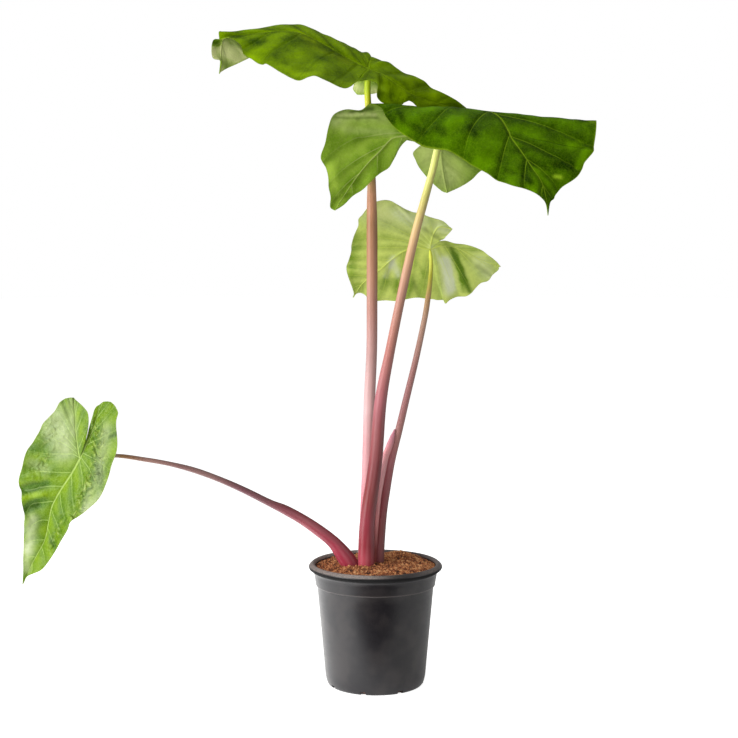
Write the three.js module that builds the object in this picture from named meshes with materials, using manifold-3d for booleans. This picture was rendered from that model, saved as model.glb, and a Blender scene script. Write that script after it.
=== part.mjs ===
// Potted imperial red alocasia: a nursery pot of soil, a buried corm, four leaf stalks, a pointed sheath
// and four arrow-shaped leaf blades.
// Millimetres, +Z up. The origin is the centre of the pot's underside, and -Y is the front.

import * as THREE from "three";
import { mergeVertices } from "three/addons/utils/BufferGeometryUtils.js";
import Module from "manifold-3d";

// Pot
const POT_HEIGHT = 192;
const RIM_RADIUS = 105;
const RIM_EDGE_Z = 186.2;
const RIM_FOOT_Z = 177;
const COLLAR_TOP_RADIUS = 96.8;
const COLLAR_FOOT_RADIUS = 94;
const COLLAR_FOOT_Z = 158;
const WALL_TOP_RADIUS = 91.8;
const FOOT_RADIUS = 73.4;
const HEEL_RADIUS = 79.1;
const HEEL_Z = 15;
const WALL = 2;
const FLOOR = 2.4;
const POT_SIDES = 48;
const DRAIN_COUNT = 8;
const DRAIN_WIDTH = 9;
const DRAIN_HEIGHT = 5;
const DRAIN_DEPTH = 12;
const DRAIN_FIRST_ANGLE = -1.83;

// Soil
const SOIL_EDGE_Z = 186.5;
const SOIL_MOUND = 5;
const HEAP_RISE = 7;
const HEAP_ANGLE = 0.98;
const HEAP_SPREAD = 0.42;
const SOIL_CRUMB = 1.6;
const SOIL_RINGS = 8;
const SOIL_SIDES = 40;

// Corm and roots, buried in the soil
const CORM_CENTRE = new THREE.Vector3(-10, 2, 134);
const CORM_RADIUS = 31;
const CORM_HALF_HEIGHT = 38;
const ROOT_COUNT = 7;
const ROOT_RADIUS = 3.2;
const ROOT_REACH = 58;
const ROOT_END_Z = 40;

// Leaf stalks
const STALK_SIDES = 12;
const STALK_STEP = 27;

// Leaf blades
const BLADE = 1.1;
const MIDRIB_ROWS = 18;
const LOBE_ROWS = 18;
const VEIN_EVERY = 3;
const ACROSS_OUTER = [0, 0.07, 0.35, 0.7, 1];
const ACROSS_INNER = [0, 0.15, 0.55, 1];
const RIB_RISE = 2.2;
const VEIN_RISE = 0.6;
const PUFF = 1.3;
const RIPPLE = 1.6;
const RIPPLE_ROWS = 5;

// Gap left between pieces that touch
const GAP = 0.3;

// Leaf blades. A blade is laid out in rows along its rib: row 0 is the tip, row 18 is where the stalk joins,
// and row 36 is the end of a basal lobe. Each station gives a row, the margin point of that row and, where
// the blade arches over, the point halfway across. The sinus is the notch between the two lobes.

// The low leaf at the left, hanging tip down with its upper side to the front
const LEAF_LOW = {
  midrib: [
    [-548.5, -34.5, 164], [-530, -40, 200.5], [-509.5, -46.5, 236], [-502, -48, 267.5],
    [-497, -49, 288], [-487, -52, 307], [-476.5, -55.5, 323], [-463, -59.5, 342.5], [-450, -64, 364.5],
  ],
  sinus: [-443, -63.5, 389.5],
  bridge: null,
  left: {
    crowding: 1.5,
    lobeRib: [
      [-450, -64, 364.5], [-453, -61, 378], [-457, -56.5, 405], [-459, -53.5, 435],
      [-460.5, -53.5, 457.5],
    ],
    outer: [
      [1, [-543, -50.5, 187]], [2, [-542.5, -49.5, 209]], [4, [-542, -48.5, 240]],
      [6, [-539, -48.5, 269.5]], [7, [-543, -46.5, 289]], [8, [-545, -45, 311]],
      [9, [-549.5, -43, 324.5]], [10, [-547.5, -42.5, 334.5]], [11, [-542, -44, 350]],
      [13, [-536, -44, 374]], [15, [-525, -45, 389]], [17, [-516, -46, 402.5]],
      [19, [-510.5, -46, 416]], [21, [-501, -47, 425]], [23, [-493, -48, 434]],
      [25, [-485.5, -49, 445]], [27, [-480.5, -50, 451]], [29, [-475.5, -51, 455]],
      [31, [-471, -52.5, 456.5]], [33, [-467.5, -54, 457]], [35, [-462.5, -56.5, 457.5]],
    ],
    inner: [
      [19, [-438.5, -71.5, 397.5]], [21, [-436, -70, 409.5]], [23, [-435, -68, 422]],
      [25, [-437, -65, 435]], [27, [-441.5, -62.5, 441]], [29, [-446.5, -59.5, 445.5]],
      [32, [-453.5, -56, 451]],
    ],
  },
  right: {
    crowding: 1.5,
    lobeRib: [
      [-450, -64, 364.5], [-438.5, -65, 387.5], [-427.5, -66, 413.5], [-421, -67.5, 433.5],
      [-411, -73.5, 453],
    ],
    outer: [
      [1, [-537, -53, 179.5]], [2, [-527, -56.5, 185.5]], [3, [-513.5, -62, 192.5]],
      [4, [-501.5, -66, 205.5]], [5, [-490.5, -68, 219.5]], [6, [-483.5, -70.5, 230.5]],
      [8, [-474, -74.5, 249]], [10, [-465.5, -77, 262]], [12, [-459.5, -78.5, 272]],
      [14, [-449.5, -82, 280]], [16, [-435, -87.5, 289.5]], [18, [-419, -93.5, 305.5]],
      [20, [-406, -97.5, 328.5]], [21, [-398.5, -99.5, 345]], [22, [-394, -100.5, 361]],
      [23, [-388.5, -100, 380]], [24, [-388, -98, 400.5]], [25, [-388, -94.5, 412.5]],
      [26, [-387.5, -92, 426]], [27, [-385.5, -91, 437.5]], [28, [-390, -88, 445]],
      [29, [-393, -85.5, 448]], [31, [-397.5, -82.5, 453.5]], [33, [-404.5, -79.5, 454]],
    ],
    inner: [
      [19, [-438, -72, 396.5]], [21, [-434.5, -71, 407.5]], [23, [-431, -70, 420]],
      [25, [-428.5, -69, 432]], [27, [-426, -68.5, 440]], [29, [-422.5, -68.5, 445.5]],
      [32, [-416.5, -69, 449]],
    ],
  },
};

// The top leaf, pointing left, its near half drooping to the front and its tip curled under
const LEAF_TALL = {
  midrib: [
    [-247, 66, 960], [-245.5, 72, 979.5], [-245, 76, 998.5], [-240, 74, 1016.5], [-217, 68, 1019.5],
    [-181.5, 56, 1022], [-141.5, 42, 1023], [-113, 34, 1017], [-78.5, 24, 998.5], [-47.5, 14, 979],
    [-11.5, 6, 959.5],
  ],
  sinus: [35, 24, 960.5],
  bridge: [12.5, 20, 971.5],
  left: {
    crowding: 1.5,
    lobeRib: [
      [-11.5, 6, 959.5], [-8.5, 22, 974.5], [-7, 38, 982], [-8.5, 56, 964.5], [-15, 66, 928],
    ],
    outer: [
      [1, [-243.5, 70, 964]], [2, [-235, 78, 970.5]], [3, [-219.5, 88, 979], [-246, 80, 1021]],
      [4, [-204.5, 98, 988], [-241, 85, 1025]], [5, [-195, 106, 995], [-228, 88, 1025.5]],
      [7, [-170, 120, 1010], [-203, 90, 1030]], [9, [-142, 132, 1016.5], [-170.5, 88, 1034]],
      [11, [-113, 142, 1015], [-137, 82, 1038.5]], [13, [-87, 142, 1002], [-111, 78, 1034.5]],
      [15, [-64, 134, 988], [-80.5, 70, 1020.5]], [17, [-47.5, 118, 970], [-52, 62, 1007]],
      [18, [-41, 106, 960], [-35, 56, 997]], [22, [-36.5, 98, 953], [-26.5, 56, 990.5]],
      [27, [-34, 90, 944], [-19.5, 60, 985.5]], [31, [-33, 82, 932], [-19.5, 64, 962.5]],
      [34, [-25, 74, 928]],
    ],
    inner: [
      [22, [29, 46, 949.5], [13, 34, 973.5]], [27, [20, 58, 940], [10, 50, 970]], [33, [1.5, 66, 930]],
    ],
  },
  right: {
    crowding: 1.5,
    lobeRib: [
      [-11.5, 6, 959.5], [9.5, -8, 950], [23.5, -14, 940], [38.5, -14, 929.5], [57, -8, 919],
      [87, 6, 909.5], [149, 30, 897],
    ],
    outer: [
      [1, [-243, 65, 980]], [2, [-256.5, 62, 985.5]], [3, [-257, 66, 1011.5]], [4, [-244, 68, 1016]],
      [5, [-227, 58, 1014.5]], [6, [-211, 44, 1000.5]], [7, [-205.5, 32, 986]], [8, [-193, 18, 977.5]],
      [9, [-175.5, -6, 965.5]], [10, [-165.5, -14, 964.5]], [11, [-144.5, -34, 948.5]],
      [12, [-129.5, -46, 940]], [13, [-116, -56, 934.5]], [14, [-100.5, -62, 940]],
      [15, [-89, -66, 939.5]], [16, [-71, -72, 929]], [17, [-48.5, -74, 920.5]], [18, [-37, -66, 925]],
      [19, [-30.5, -58, 932.5]], [20, [-20.5, -52, 934]], [21, [-8.5, -46, 933.5]],
      [22, [1, -42, 930.5]], [23, [2.5, -38, 921.5]], [24, [4, -33, 911]], [25, [11, -28, 904]],
      [26, [24, -24, 899.5]], [27, [37, -21, 900]], [28, [43, -20, 906.5]], [29, [50, -18, 909.5]],
      [30, [57, -13, 906.5]], [31, [68, -6, 897.5]], [33, [99.5, 12, 895.5]],
    ],
    inner: [
      [22, [52, 20, 953]], [25, [72.5, 18, 944.5]], [28, [89, 18, 931]], [33, [123, 20, 915]],
    ],
  },
};

// The large right leaf, arched like a tent, its blade down the front and its lobes down the back
const LEAF_FRONT = {
  midrib: [
    [248, -150, 730], [246.5, -146, 748], [240.5, -134, 777.5], [227.5, -122, 800], [211.5, -106, 827],
    [199.5, -92, 846], [195.5, -84, 858], [185, -68, 877.5], [170, -52, 888.5], [140, -30, 892.5],
    [106, -10, 881.5],
  ],
  sinus: [84, 0, 852],
  bridge: null,
  left: {
    crowding: 2,
    lobeRib: [
      [106, -10, 881.5], [77, -12, 868], [49.5, -14, 856.5], [29.5, -15, 854], [19, -16, 846.5],
      [6.5, -17, 832.5], [-11.5, -18, 814.5], [-30, -20, 791.5], [-48.5, -22, 764],
      [-62.5, -24, 741.5],
    ],
    outer: [
      [1, [244.5, -148, 746.5]], [2, [237, -148, 756]], [4, [223.5, -147, 766.5]],
      [6, [202, -145, 770.5]], [8, [180, -138, 780]], [10, [162, -130, 791], [174.5, -109, 828.5]],
      [12, [141.5, -122, 802.5], [156, -99, 849.5]], [14, [123, -110, 816.5], [136.5, -84, 870]],
      [16, [107.5, -102, 825], [119.5, -68, 884]], [17, [94.5, -96, 827.5], [109.5, -60, 889.5]],
      [18, [80, -90, 831], [98, -54, 891.5]], [19, [64.5, -84, 837], [81.5, -50, 892.5]],
      [20, [49.5, -76, 847], [62, -46, 894.5]], [21, [33, -64, 859.5], [44, -42, 897.5]],
      [22, [19, -54, 876], [29, -36, 900]], [23, [7, -44, 897.5], [18.5, -30, 900]],
      [24, [-8, -42, 903.5], [11, -27, 893.5]], [25, [-23, -40, 891.5], [3.5, -25, 883]],
      [26, [-45, -38, 892.5], [-8.5, -25, 875.5]], [27, [-63.5, -38, 885], [-21, -25, 868]],
      [28, [-72, -37, 866], [-28.5, -25, 854.5]], [29, [-77, -36, 843]], [30, [-83.5, -34, 821.5]],
      [31, [-75.5, -32, 806]], [32, [-72, -31, 791]], [33, [-71.5, -30, 776]], [34, [-69, -28, 762]],
      [35, [-69.5, -26, 747]],
    ],
    inner: [
      [20, [68, -4, 846.5]], [22, [54.5, -7, 848.5]], [24, [39, -9, 850]], [26, [33, -10, 839]],
      [28, [30.5, -11, 827]], [29, [26.5, -12, 817.5]], [30, [20, -13, 807]], [31, [8, -14, 799.5]],
      [32, [-2.5, -16, 791]], [33, [-19.5, -18, 774]], [34, [-35, -20, 764]],
      [35, [-48.5, -23, 750.5]],
    ],
  },
  right: {
    crowding: 1.5,
    lobeRib: [
      [106, -10, 881.5], [104, 6, 859], [101.5, 14, 836.5], [103.5, 18, 813.5], [106.5, 20, 794],
      [111.5, 20, 770.5],
    ],
    outer: [
      [1, [251.5, -142, 748.5]], [2, [257.5, -136, 754]], [3, [260.5, -132, 759]],
      [4, [265.5, -127, 765.5]], [5, [273.5, -121, 773.5]], [6, [293, -110, 785.5]],
      [7, [303, -102, 798.5]], [8, [309, -95, 811]], [9, [323, -82, 826.5]],
      [10, [324.5, -76, 834.5], [260.5, -82, 840.5]], [11, [329, -62, 854], [261.5, -69, 860.5]],
      [12, [332, -48, 872.5], [261, -57, 875]], [13, [332, -36, 875.5], [255, -46, 881]],
      [14, [318.5, -14, 872], [235, -32, 879]], [15, [306, 2, 861.5], [215, -20, 881]],
      [16, [289, 14, 852], [199, -10, 883.5]], [17, [274.5, 22, 845], [190.5, -2, 888.5]],
      [18, [261.5, 28, 839], [181, 5, 887]], [21, [232.5, 36, 829], [162, 18, 874]],
      [25, [198.5, 38, 820], [141, 24, 851]], [29, [167, 34, 807]], [32, [152, 32, 793]],
      [34, [131.5, 28, 780]],
    ],
    inner: [
      [21, [74, 8, 843.5]], [24, [58.5, 10, 833]], [26, [62, 13, 821]], [28, [69, 16, 808]],
      [31, [85.5, 19, 789]], [34, [102.5, 20, 774]],
    ],
  },
};

// The middle leaf at the back, leaning forward so that its underside faces the front
const LEAF_SLIM = {
  midrib: [
    [-36.5, 135.5, 605], [-21.5, 122.5, 627.5], [4.5, 109.5, 648.5], [27, 98, 668], [46, 90, 681],
    [64, 86, 687.5], [88, 88, 684],
  ],
  sinus: [101.5, 80.5, 696],
  bridge: null,
  left: {
    crowding: 1.5,
    lobeRib: [
      [88, 88, 684], [109, 88, 690.5], [128.5, 93, 687.5], [147, 99, 679.5], [170, 106, 668],
      [204, 109, 656],
    ],
    outer: [
      [1, [-30.5, 139, 611]], [2, [-22, 137, 611.5]], [3, [-14.5, 140, 608.5]], [4, [-7, 142.5, 603]],
      [5, [3, 145, 599.5]], [7, [21, 145.5, 599]], [9, [38, 144.5, 600]], [11, [56, 142.5, 602]],
      [13, [74, 142, 604.5]], [15, [92.5, 143, 602.5]], [16, [102.5, 144.5, 600]],
      [17, [112.5, 146.5, 600.5]], [18, [117, 149, 595.5]], [19, [123, 145, 601]],
      [20, [133.5, 143, 605]], [21, [141.5, 142, 605.5]], [22, [150, 140.5, 606.5]],
      [23, [157.5, 137.5, 612]], [24, [162, 134.5, 617.5]], [25, [166, 131.5, 621.5]],
      [26, [173.5, 128.5, 627.5]], [27, [185, 126, 631.5]], [29, [191.5, 119.5, 642.5]],
      [31, [198, 116.5, 647]], [33, [200.5, 115.5, 650.5]], [35, [202, 113, 655.5]],
    ],
    inner: [
      [19, [113.5, 84, 697]], [21, [128, 85.5, 693.5]], [24, [149, 88, 690.5]],
      [27, [169, 91.5, 683.5]], [31, [185.5, 98, 672.5]], [34, [196.5, 103.5, 664]],
    ],
  },
  right: {
    crowding: 1.5,
    lobeRib: [
      [88, 88, 684], [90, 78, 697], [93.5, 68.5, 709.5], [102.5, 60.5, 719], [122.5, 60.5, 715.5],
    ],
    outer: [
      [1, [-34.5, 127, 613]], [3, [-40.5, 118, 629]], [5, [-46, 107.5, 646]], [7, [-46.5, 101, 656]],
      [9, [-43, 94.5, 667]], [11, [-39, 87, 679]], [13, [-38.5, 80, 691]], [15, [-35, 72, 703.5]],
      [17, [-27.5, 61.5, 720]], [18, [-27, 54.5, 731.5]], [19, [-20.5, 48.5, 739]],
      [20, [-14, 43.5, 747]], [21, [-2.5, 38.5, 756]], [22, [13.5, 36, 759.5]],
      [23, [26, 37.5, 758.5]], [24, [37, 41, 752.5]], [25, [48.5, 45, 746]], [26, [59, 47, 741.5]],
      [27, [72, 49.5, 739.5]], [28, [84.5, 52, 735.5]], [29, [94, 53.5, 732.5]],
      [30, [103, 55.5, 729.5]], [32, [112.5, 58.5, 724]], [34, [118.5, 61.5, 719]],
    ],
    inner: [
      [20, [107, 73.5, 699.5]], [25, [113, 71, 704]], [31, [119.5, 66.5, 711]],
    ],
  },
};

// Leaf stalks. Each point of a route is followed by the stalk's radius there.

// Bends out to the left from a thick base
const STALK_LOW = {
  route: [
    [-30.5, -6, 167, 12.5], [-40, -8, 189.5, 14], [-50, -10, 205.5, 13], [-66.5, -12, 226.5, 9.5],
    [-89, -16, 245.5, 9], [-114, -20, 263.5, 8], [-141, -24, 279.5, 7.5], [-163.5, -28, 290.5, 5.5],
    [-205, -36, 313, 5], [-241.5, -43, 330.5, 4.5], [-277.5, -50, 345, 4.5], [-313.5, -56, 355.5, 3.5],
    [-350.5, -61, 363, 3.5], [-397, -65, 369.5, 3], [-450, -64, 364.5, 2.5],
  ],
};

// Stands upright behind the others
const STALK_BACK = {
  route: [
    [-17, 22, 161, 9], [-16, 20, 245, 9], [-12.5, 18, 334.5, 9], [-9.5, 16, 446, 9],
    [-6, 15, 525, 8.5], [-5.5, 14, 603.5, 8.5], [-5.5, 13, 712, 8.5], [-6, 12, 758.5, 7.5],
    [-6.5, 12, 805, 6], [-11, 12, 897, 5], [-12.5, 10, 927.5, 5], [-11.5, 6, 959.5, 4.5],
  ],
};

// The thickest, in front, leaning to the right
const STALK_FRONT = {
  route: [
    [-14.5, -10, 168, 13.5], [-14.5, -10, 212.5, 13], [-12, -10, 268, 11.5], [0, -12, 355, 10.5],
    [8, -14, 449, 9.5], [22.5, -16, 527, 7.5], [36.5, -18, 596.5, 7], [48, -20, 650.5, 7],
    [62, -22, 711.5, 6.5], [74.5, -22, 757, 6], [87, -20, 803, 5.5], [94, -16, 833.5, 5.5],
    [106, -10, 881.5, 5],
  ],
};

// The thinnest, at the right, bending back at the top
const STALK_SLIM = {
  route: [
    [6, 10, 163.5, 8], [6, 10, 203.5, 8], [10.5, 14, 263.5, 7.5], [16.5, 19, 303, 7],
    [25, 24, 350, 6.5], [37, 30, 397, 6], [48.5, 36, 444.5, 5.5], [64, 44, 507.5, 5],
    [78, 56, 570.5, 4.5], [83.5, 64, 602, 4.5], [88, 72, 634, 3.5], [89.5, 78, 662.5, 3],
    [88, 88, 684, 2.5],
  ],
};

// A pointed sheath that hugs the slim stalk
const SHEATH = {
  route: [
    [-2.5, 6, 164.5, 5.5], [-2, 6, 217, 5.5], [1.5, 8, 264.5, 5], [4.5, 9, 296.5, 5],
    [8.5, 10, 320, 5], [15, 14, 354.5, 5.5], [20.5, 18, 369.5, 5.5], [25, 21, 382, 5],
    [29, 24, 394.5, 2.5], [31.5, 25, 402, 0.5],
  ],
};

const wasm = await Module();
wasm.setup();

// Solids

function toSolid(geometry) {
  const bare = geometry.index ? geometry.toNonIndexed() : geometry.clone();
  bare.deleteAttribute("normal");
  bare.deleteAttribute("uv");
  const merged = mergeVertices(bare, 1e-4);
  return new wasm.Manifold(
    new wasm.Mesh({
      numProp: 3,
      vertProperties: new Float32Array(merged.attributes.position.array),
      triVerts: new Uint32Array(merged.index.array),
    }),
  );
}

function toGeometry(solid) {
  const mesh = solid.getMesh();
  const stride = mesh.numProp;
  const points = new Float32Array(mesh.numVert * 3);
  for (let i = 0; i < mesh.numVert; i++) {
    points.set(mesh.vertProperties.subarray(i * stride, i * stride + 3), i * 3);
  }
  const geometry = new THREE.BufferGeometry();
  geometry.setAttribute("position", new THREE.BufferAttribute(points, 3));
  geometry.setIndex(new THREE.BufferAttribute(new Uint32Array(mesh.triVerts), 1));
  geometry.computeVertexNormals();
  return geometry;
}

function largestBody(solid) {
  return solid.decompose().reduce((best, body) => (body.volume() > best.volume() ? body : best));
}

function trianglesToSolid(points, triangles) {
  const geometry = new THREE.BufferGeometry();
  const numbers = points.flatMap((p) => [p.x, p.y, p.z]);
  geometry.setAttribute("position", new THREE.Float32BufferAttribute(numbers, 3));
  geometry.setIndex(triangles.flat());
  return toSolid(geometry);
}

// Rings of points, each ring of equal length, closed with a fan at both ends
function loftRings(rings) {
  const sides = rings[0].length;
  const points = rings.flat();
  const triangles = [];
  for (let r = 0; r + 1 < rings.length; r++) {
    for (let s = 0; s < sides; s++) {
      const a = r * sides + s;
      const b = r * sides + ((s + 1) % sides);
      triangles.push([a, b, b + sides], [a, b + sides, a + sides]);
    }
  }
  const centreOf = (ring) => ring.reduce((sum, p) => sum.add(p), new THREE.Vector3()).divideScalar(sides);
  const first = points.push(centreOf(rings[0])) - 1;
  const last = points.push(centreOf(rings[rings.length - 1])) - 1;
  const top = (rings.length - 1) * sides;
  for (let s = 0; s < sides; s++) {
    const next = (s + 1) % sides;
    triangles.push([first, next, s], [last, top + s, top + next]);
  }
  return trianglesToSolid(points, triangles);
}

// Pot

// Radius of the straight wall at a height, less an inset
function wallRadius(z, inset) {
  return THREE.MathUtils.mapLinear(z, HEEL_Z, COLLAR_FOOT_Z, HEEL_RADIUS, WALL_TOP_RADIUS) - inset;
}

function makePot() {
  const profile = [
    [0, 0],
    [FOOT_RADIUS, 0],
    [FOOT_RADIUS + 2.9, 4],
    [HEEL_RADIUS, HEEL_Z],
    [wallRadius(86, 0), 86],
    [wallRadius(COLLAR_FOOT_Z - 2, 0), COLLAR_FOOT_Z - 2],
    [COLLAR_FOOT_RADIUS, COLLAR_FOOT_Z],
    [COLLAR_TOP_RADIUS, RIM_FOOT_Z],
    [RIM_RADIUS - 1.7, RIM_EDGE_Z - 3.6],
    [RIM_RADIUS, RIM_EDGE_Z - 1],
    [RIM_RADIUS, RIM_EDGE_Z + 1],
    [RIM_RADIUS - 3.6, POT_HEIGHT - 0.9],
    [RIM_RADIUS - 5.4, POT_HEIGHT],
    [RIM_RADIUS - 7.4, POT_HEIGHT],
    [COLLAR_TOP_RADIUS - WALL, POT_HEIGHT - 4],
    [COLLAR_FOOT_RADIUS - WALL, COLLAR_FOOT_Z + WALL],
    [wallRadius(COLLAR_FOOT_Z - 2, WALL), COLLAR_FOOT_Z],
    [HEEL_RADIUS - WALL, HEEL_Z],
    [FOOT_RADIUS, FLOOR],
    [0, FLOOR],
  ];
  const lathe = new THREE.LatheGeometry(profile.map(([r, z]) => new THREE.Vector2(r, z)), POT_SIDES);
  lathe.rotateX(Math.PI / 2);
  let pot = toSolid(lathe);
  for (let i = 0; i < DRAIN_COUNT; i++) {
    const angle = DRAIN_FIRST_ANGLE + (i * 2 * Math.PI) / DRAIN_COUNT;
    const slot = new THREE.BoxGeometry(DRAIN_DEPTH, DRAIN_WIDTH, 2 * DRAIN_HEIGHT);
    slot.translate(FOOT_RADIUS + 1, 0, 0);
    slot.rotateZ(angle);
    pot = pot.subtract(toSolid(slot));
  }
  return pot;
}

// Corm and roots

function makeCorm(extra) {
  const ball = new THREE.SphereGeometry(1, 16, 8);
  ball.rotateX(Math.PI / 2);
  ball.scale(CORM_RADIUS + extra, CORM_RADIUS + extra, CORM_HALF_HEIGHT + extra);
  ball.translate(CORM_CENTRE.x, CORM_CENTRE.y, CORM_CENTRE.z);
  let corm = toSolid(ball);
  for (let i = 0; i < ROOT_COUNT; i++) {
    const angle = (i * 2 * Math.PI) / ROOT_COUNT + 0.4;
    const out = new THREE.Vector3(Math.cos(angle), Math.sin(angle), 0);
    const reach = ROOT_REACH - 9 * (i % 3);
    const start = CORM_CENTRE.clone().addScaledVector(out, CORM_RADIUS * 0.55);
    const elbow = CORM_CENTRE.clone().addScaledVector(out, reach * 0.8).setZ(CORM_CENTRE.z - 38);
    const end = new THREE.Vector3(out.x * reach, out.y * reach, ROOT_END_Z + 7 * (i % 4));
    start.z -= 12;
    const root = { path: [start, elbow, end], radii: [ROOT_RADIUS, ROOT_RADIUS * 0.8, ROOT_RADIUS * 0.35] };
    corm = corm.add(makeTube(root, extra, 6, 22));
  }
  return corm;
}

// Leaf stalks

// A round tube along a smooth path, its radius running through the given values
function makeTube({ path, radii }, extra, sides, step) {
  const curve = new THREE.CatmullRomCurve3(path, false, "catmullrom", 0.5);
  const steps = Math.max(4, Math.round(curve.getLength() / step));
  const rings = [];
  const side = new THREE.Vector3(0, 1, 0);
  for (let i = 0; i <= steps; i++) {
    const t = curve.getUtoTmapping(i / steps);
    const centre = curve.getPoint(t);
    const along = curve.getTangent(t);
    const across = new THREE.Vector3().crossVectors(side, along).normalize();
    const third = new THREE.Vector3().crossVectors(along, across);
    const slot = t * (radii.length - 1);
    const low = Math.min(Math.floor(slot), radii.length - 2);
    const radius = THREE.MathUtils.lerp(radii[low], radii[low + 1], slot - low) + extra;
    const ring = [];
    for (let s = 0; s < sides; s++) {
      const angle = (s * 2 * Math.PI) / sides;
      ring.push(
        centre
          .clone()
          .addScaledVector(across, Math.cos(angle) * radius)
          .addScaledVector(third, Math.sin(angle) * radius),
      );
    }
    rings.push(ring);
  }
  return loftRings(rings);
}

function stalk({ route }, extra = 0) {
  const path = route.map(([x, y, z]) => new THREE.Vector3(x, y, z));
  const radii = route.map((point) => point[3]);
  return makeTube({ path, radii }, extra, STALK_SIDES, STALK_STEP);
}

// Leaf blades

const vector = ([x, y, z]) => new THREE.Vector3(x, y, z);
const smooth = (points) => new THREE.CatmullRomCurve3(points, false, "catmullrom", 0.5);

// The rib of one side at a row: the midrib from tip to stalk, then that side's lobe rib to the lobe's end
function ribCurve(leaf, side) {
  const midrib = smooth(leaf.midrib.map(vector));
  const lobe = smooth(side.lobeRib.map(vector));
  return (row) => {
    if (row <= MIDRIB_ROWS) return midrib.getPointAt(row / MIDRIB_ROWS);
    return lobe.getPointAt(((row - MIDRIB_ROWS) / LOBE_ROWS) ** side.crowding);
  };
}

// Stations hold a row, the margin point there and, where the blade arches over, the point halfway across
function marginCurves(stations, rib) {
  const rows = stations.map(([row]) => row);
  const edge = smooth(stations.map(([, point]) => vector(point)));
  const halfway = (row, point) => rib(row).add(vector(point)).multiplyScalar(0.5);
  const middle = smooth(stations.map(([row, point, over]) => (over ? vector(over) : halfway(row, point))));
  return (row) => {
    let k = 0;
    while (k < rows.length - 2 && row > rows[k + 1]) k++;
    const t = (k + (row - rows[k]) / (rows[k + 1] - rows[k])) / (rows.length - 1);
    return { edge: edge.getPoint(t), middle: middle.getPoint(t) };
  };
}

// One quarter of a blade, as rows of points from its rib to its margin
function bladePatch(leaf, side, inner) {
  const rib = ribCurve(leaf, side);
  const tip = leaf.midrib[0];
  const lobeEnd = side.lobeRib[side.lobeRib.length - 1];
  const first = inner ? [MIDRIB_ROWS, leaf.sinus, leaf.bridge] : [0, tip, tip];
  const last = [MIDRIB_ROWS + LOBE_ROWS, lobeEnd, lobeEnd];
  const margin = marginCurves([first, ...(inner ? side.inner : side.outer), last], rib);
  const across = inner ? ACROSS_INNER : ACROSS_OUTER;
  const rows = [];
  for (let row = first[0]; row <= last[0]; row++) {
    const start = rib(row);
    const { edge, middle } = margin(row);
    rows.push(
      across.map((v) => {
        const point = new THREE.Vector3()
          .addScaledVector(start, (1 - v) * (1 - 2 * v))
          .addScaledVector(middle, 4 * v * (1 - v))
          .addScaledVector(edge, v * (2 * v - 1));
        return { point, row, v, inner };
      }),
    );
  }
  return rows;
}

// How far the blade puffs up between its side veins and ripples at its margin
function relief({ row, v, inner }) {
  const between = Math.abs(Math.sin((Math.PI * row) / VEIN_EVERY));
  const puff = PUFF * between * Math.sin(Math.PI * Math.min(1, v * 1.1));
  const ripple = inner ? 0 : RIPPLE * v ** 3 * Math.sin((2 * Math.PI * row) / RIPPLE_ROWS);
  const ends = Math.min(1, row / 3, (MIDRIB_ROWS + LOBE_ROWS - row) / 3);
  return (puff + ripple) * ends;
}

// How far the ribs stand out under the blade
function ribRise({ row, v, inner }) {
  const along = row <= MIDRIB_ROWS ? row / MIDRIB_ROWS : 1 - (row - MIDRIB_ROWS) / LOBE_ROWS;
  if (v === 0) return RIB_RISE * (0.25 + 0.75 * along);
  const isVein = row % VEIN_EVERY === 0 && row !== MIDRIB_ROWS && v < 0.8;
  return isVein && !inner ? VEIN_RISE * (1 - v) : 0;
}

function makeBlade(leaf, extra = 0) {
  const points = [];
  const lift = [];
  const rise = [];
  const seen = new Map();
  const indexOf = (node) => {
    const key = node.point.toArray().map((c) => c.toFixed(3)).join();
    if (!seen.has(key)) {
      seen.set(key, points.length);
      points.push(node.point);
      lift.push(relief(node));
      rise.push(ribRise(node));
    }
    return seen.get(key);
  };
  const triangles = [];
  for (const [side, mirrored] of [[leaf.left, false], [leaf.right, true]]) {
    for (const inner of [false, true]) {
      const rows = bladePatch(leaf, side, inner).map((row) => row.map(indexOf));
      for (let r = 0; r + 1 < rows.length; r++) {
        for (let c = 0; c + 1 < rows[r].length; c++) {
          const quad = [rows[r][c], rows[r][c + 1], rows[r + 1][c + 1], rows[r + 1][c]];
          for (const corners of [[0, 1, 2], [0, 2, 3]]) {
            const triangle = corners.map((k) => quad[k]);
            if (new Set(triangle).size < 3) continue;
            triangles.push(mirrored === inner ? triangle.reverse() : triangle);
          }
        }
      }
    }
  }
  return thicken(points, triangles, lift, rise, extra);
}

// Gives a sheet of triangles its thickness, with the same triangles on both faces
function thicken(points, triangles, lift, rise, extra) {
  const normals = points.map(() => new THREE.Vector3());
  const edges = new Map();
  for (const [a, b, c] of triangles) {
    const ab = points[b].clone().sub(points[a]);
    const ac = points[c].clone().sub(points[a]);
    const normal = ab.cross(ac);
    for (const corner of [a, b, c]) normals[corner].add(normal);
    for (const [from, to] of [[a, b], [b, c], [c, a]]) {
      const back = `${to}_${from}`;
      if (edges.has(back)) edges.delete(back);
      else edges.set(`${from}_${to}`, [from, to]);
    }
  }
  normals.forEach((normal) => normal.normalize());
  const half = BLADE / 2 + extra;
  const upper = points.map((p, i) => p.clone().addScaledVector(normals[i], lift[i] + half));
  const lower = points.map((p, i) => p.clone().addScaledVector(normals[i], lift[i] - half - rise[i]));
  const count = points.length;
  const all = triangles.flatMap(([a, b, c]) => [[a, b, c], [count + a, count + c, count + b]]);
  for (const [from, to] of edges.values()) {
    all.push([to, from, count + from], [to, count + from, count + to]);
  }
  return trianglesToSolid([...upper, ...lower], all);
}

// Soil

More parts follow.
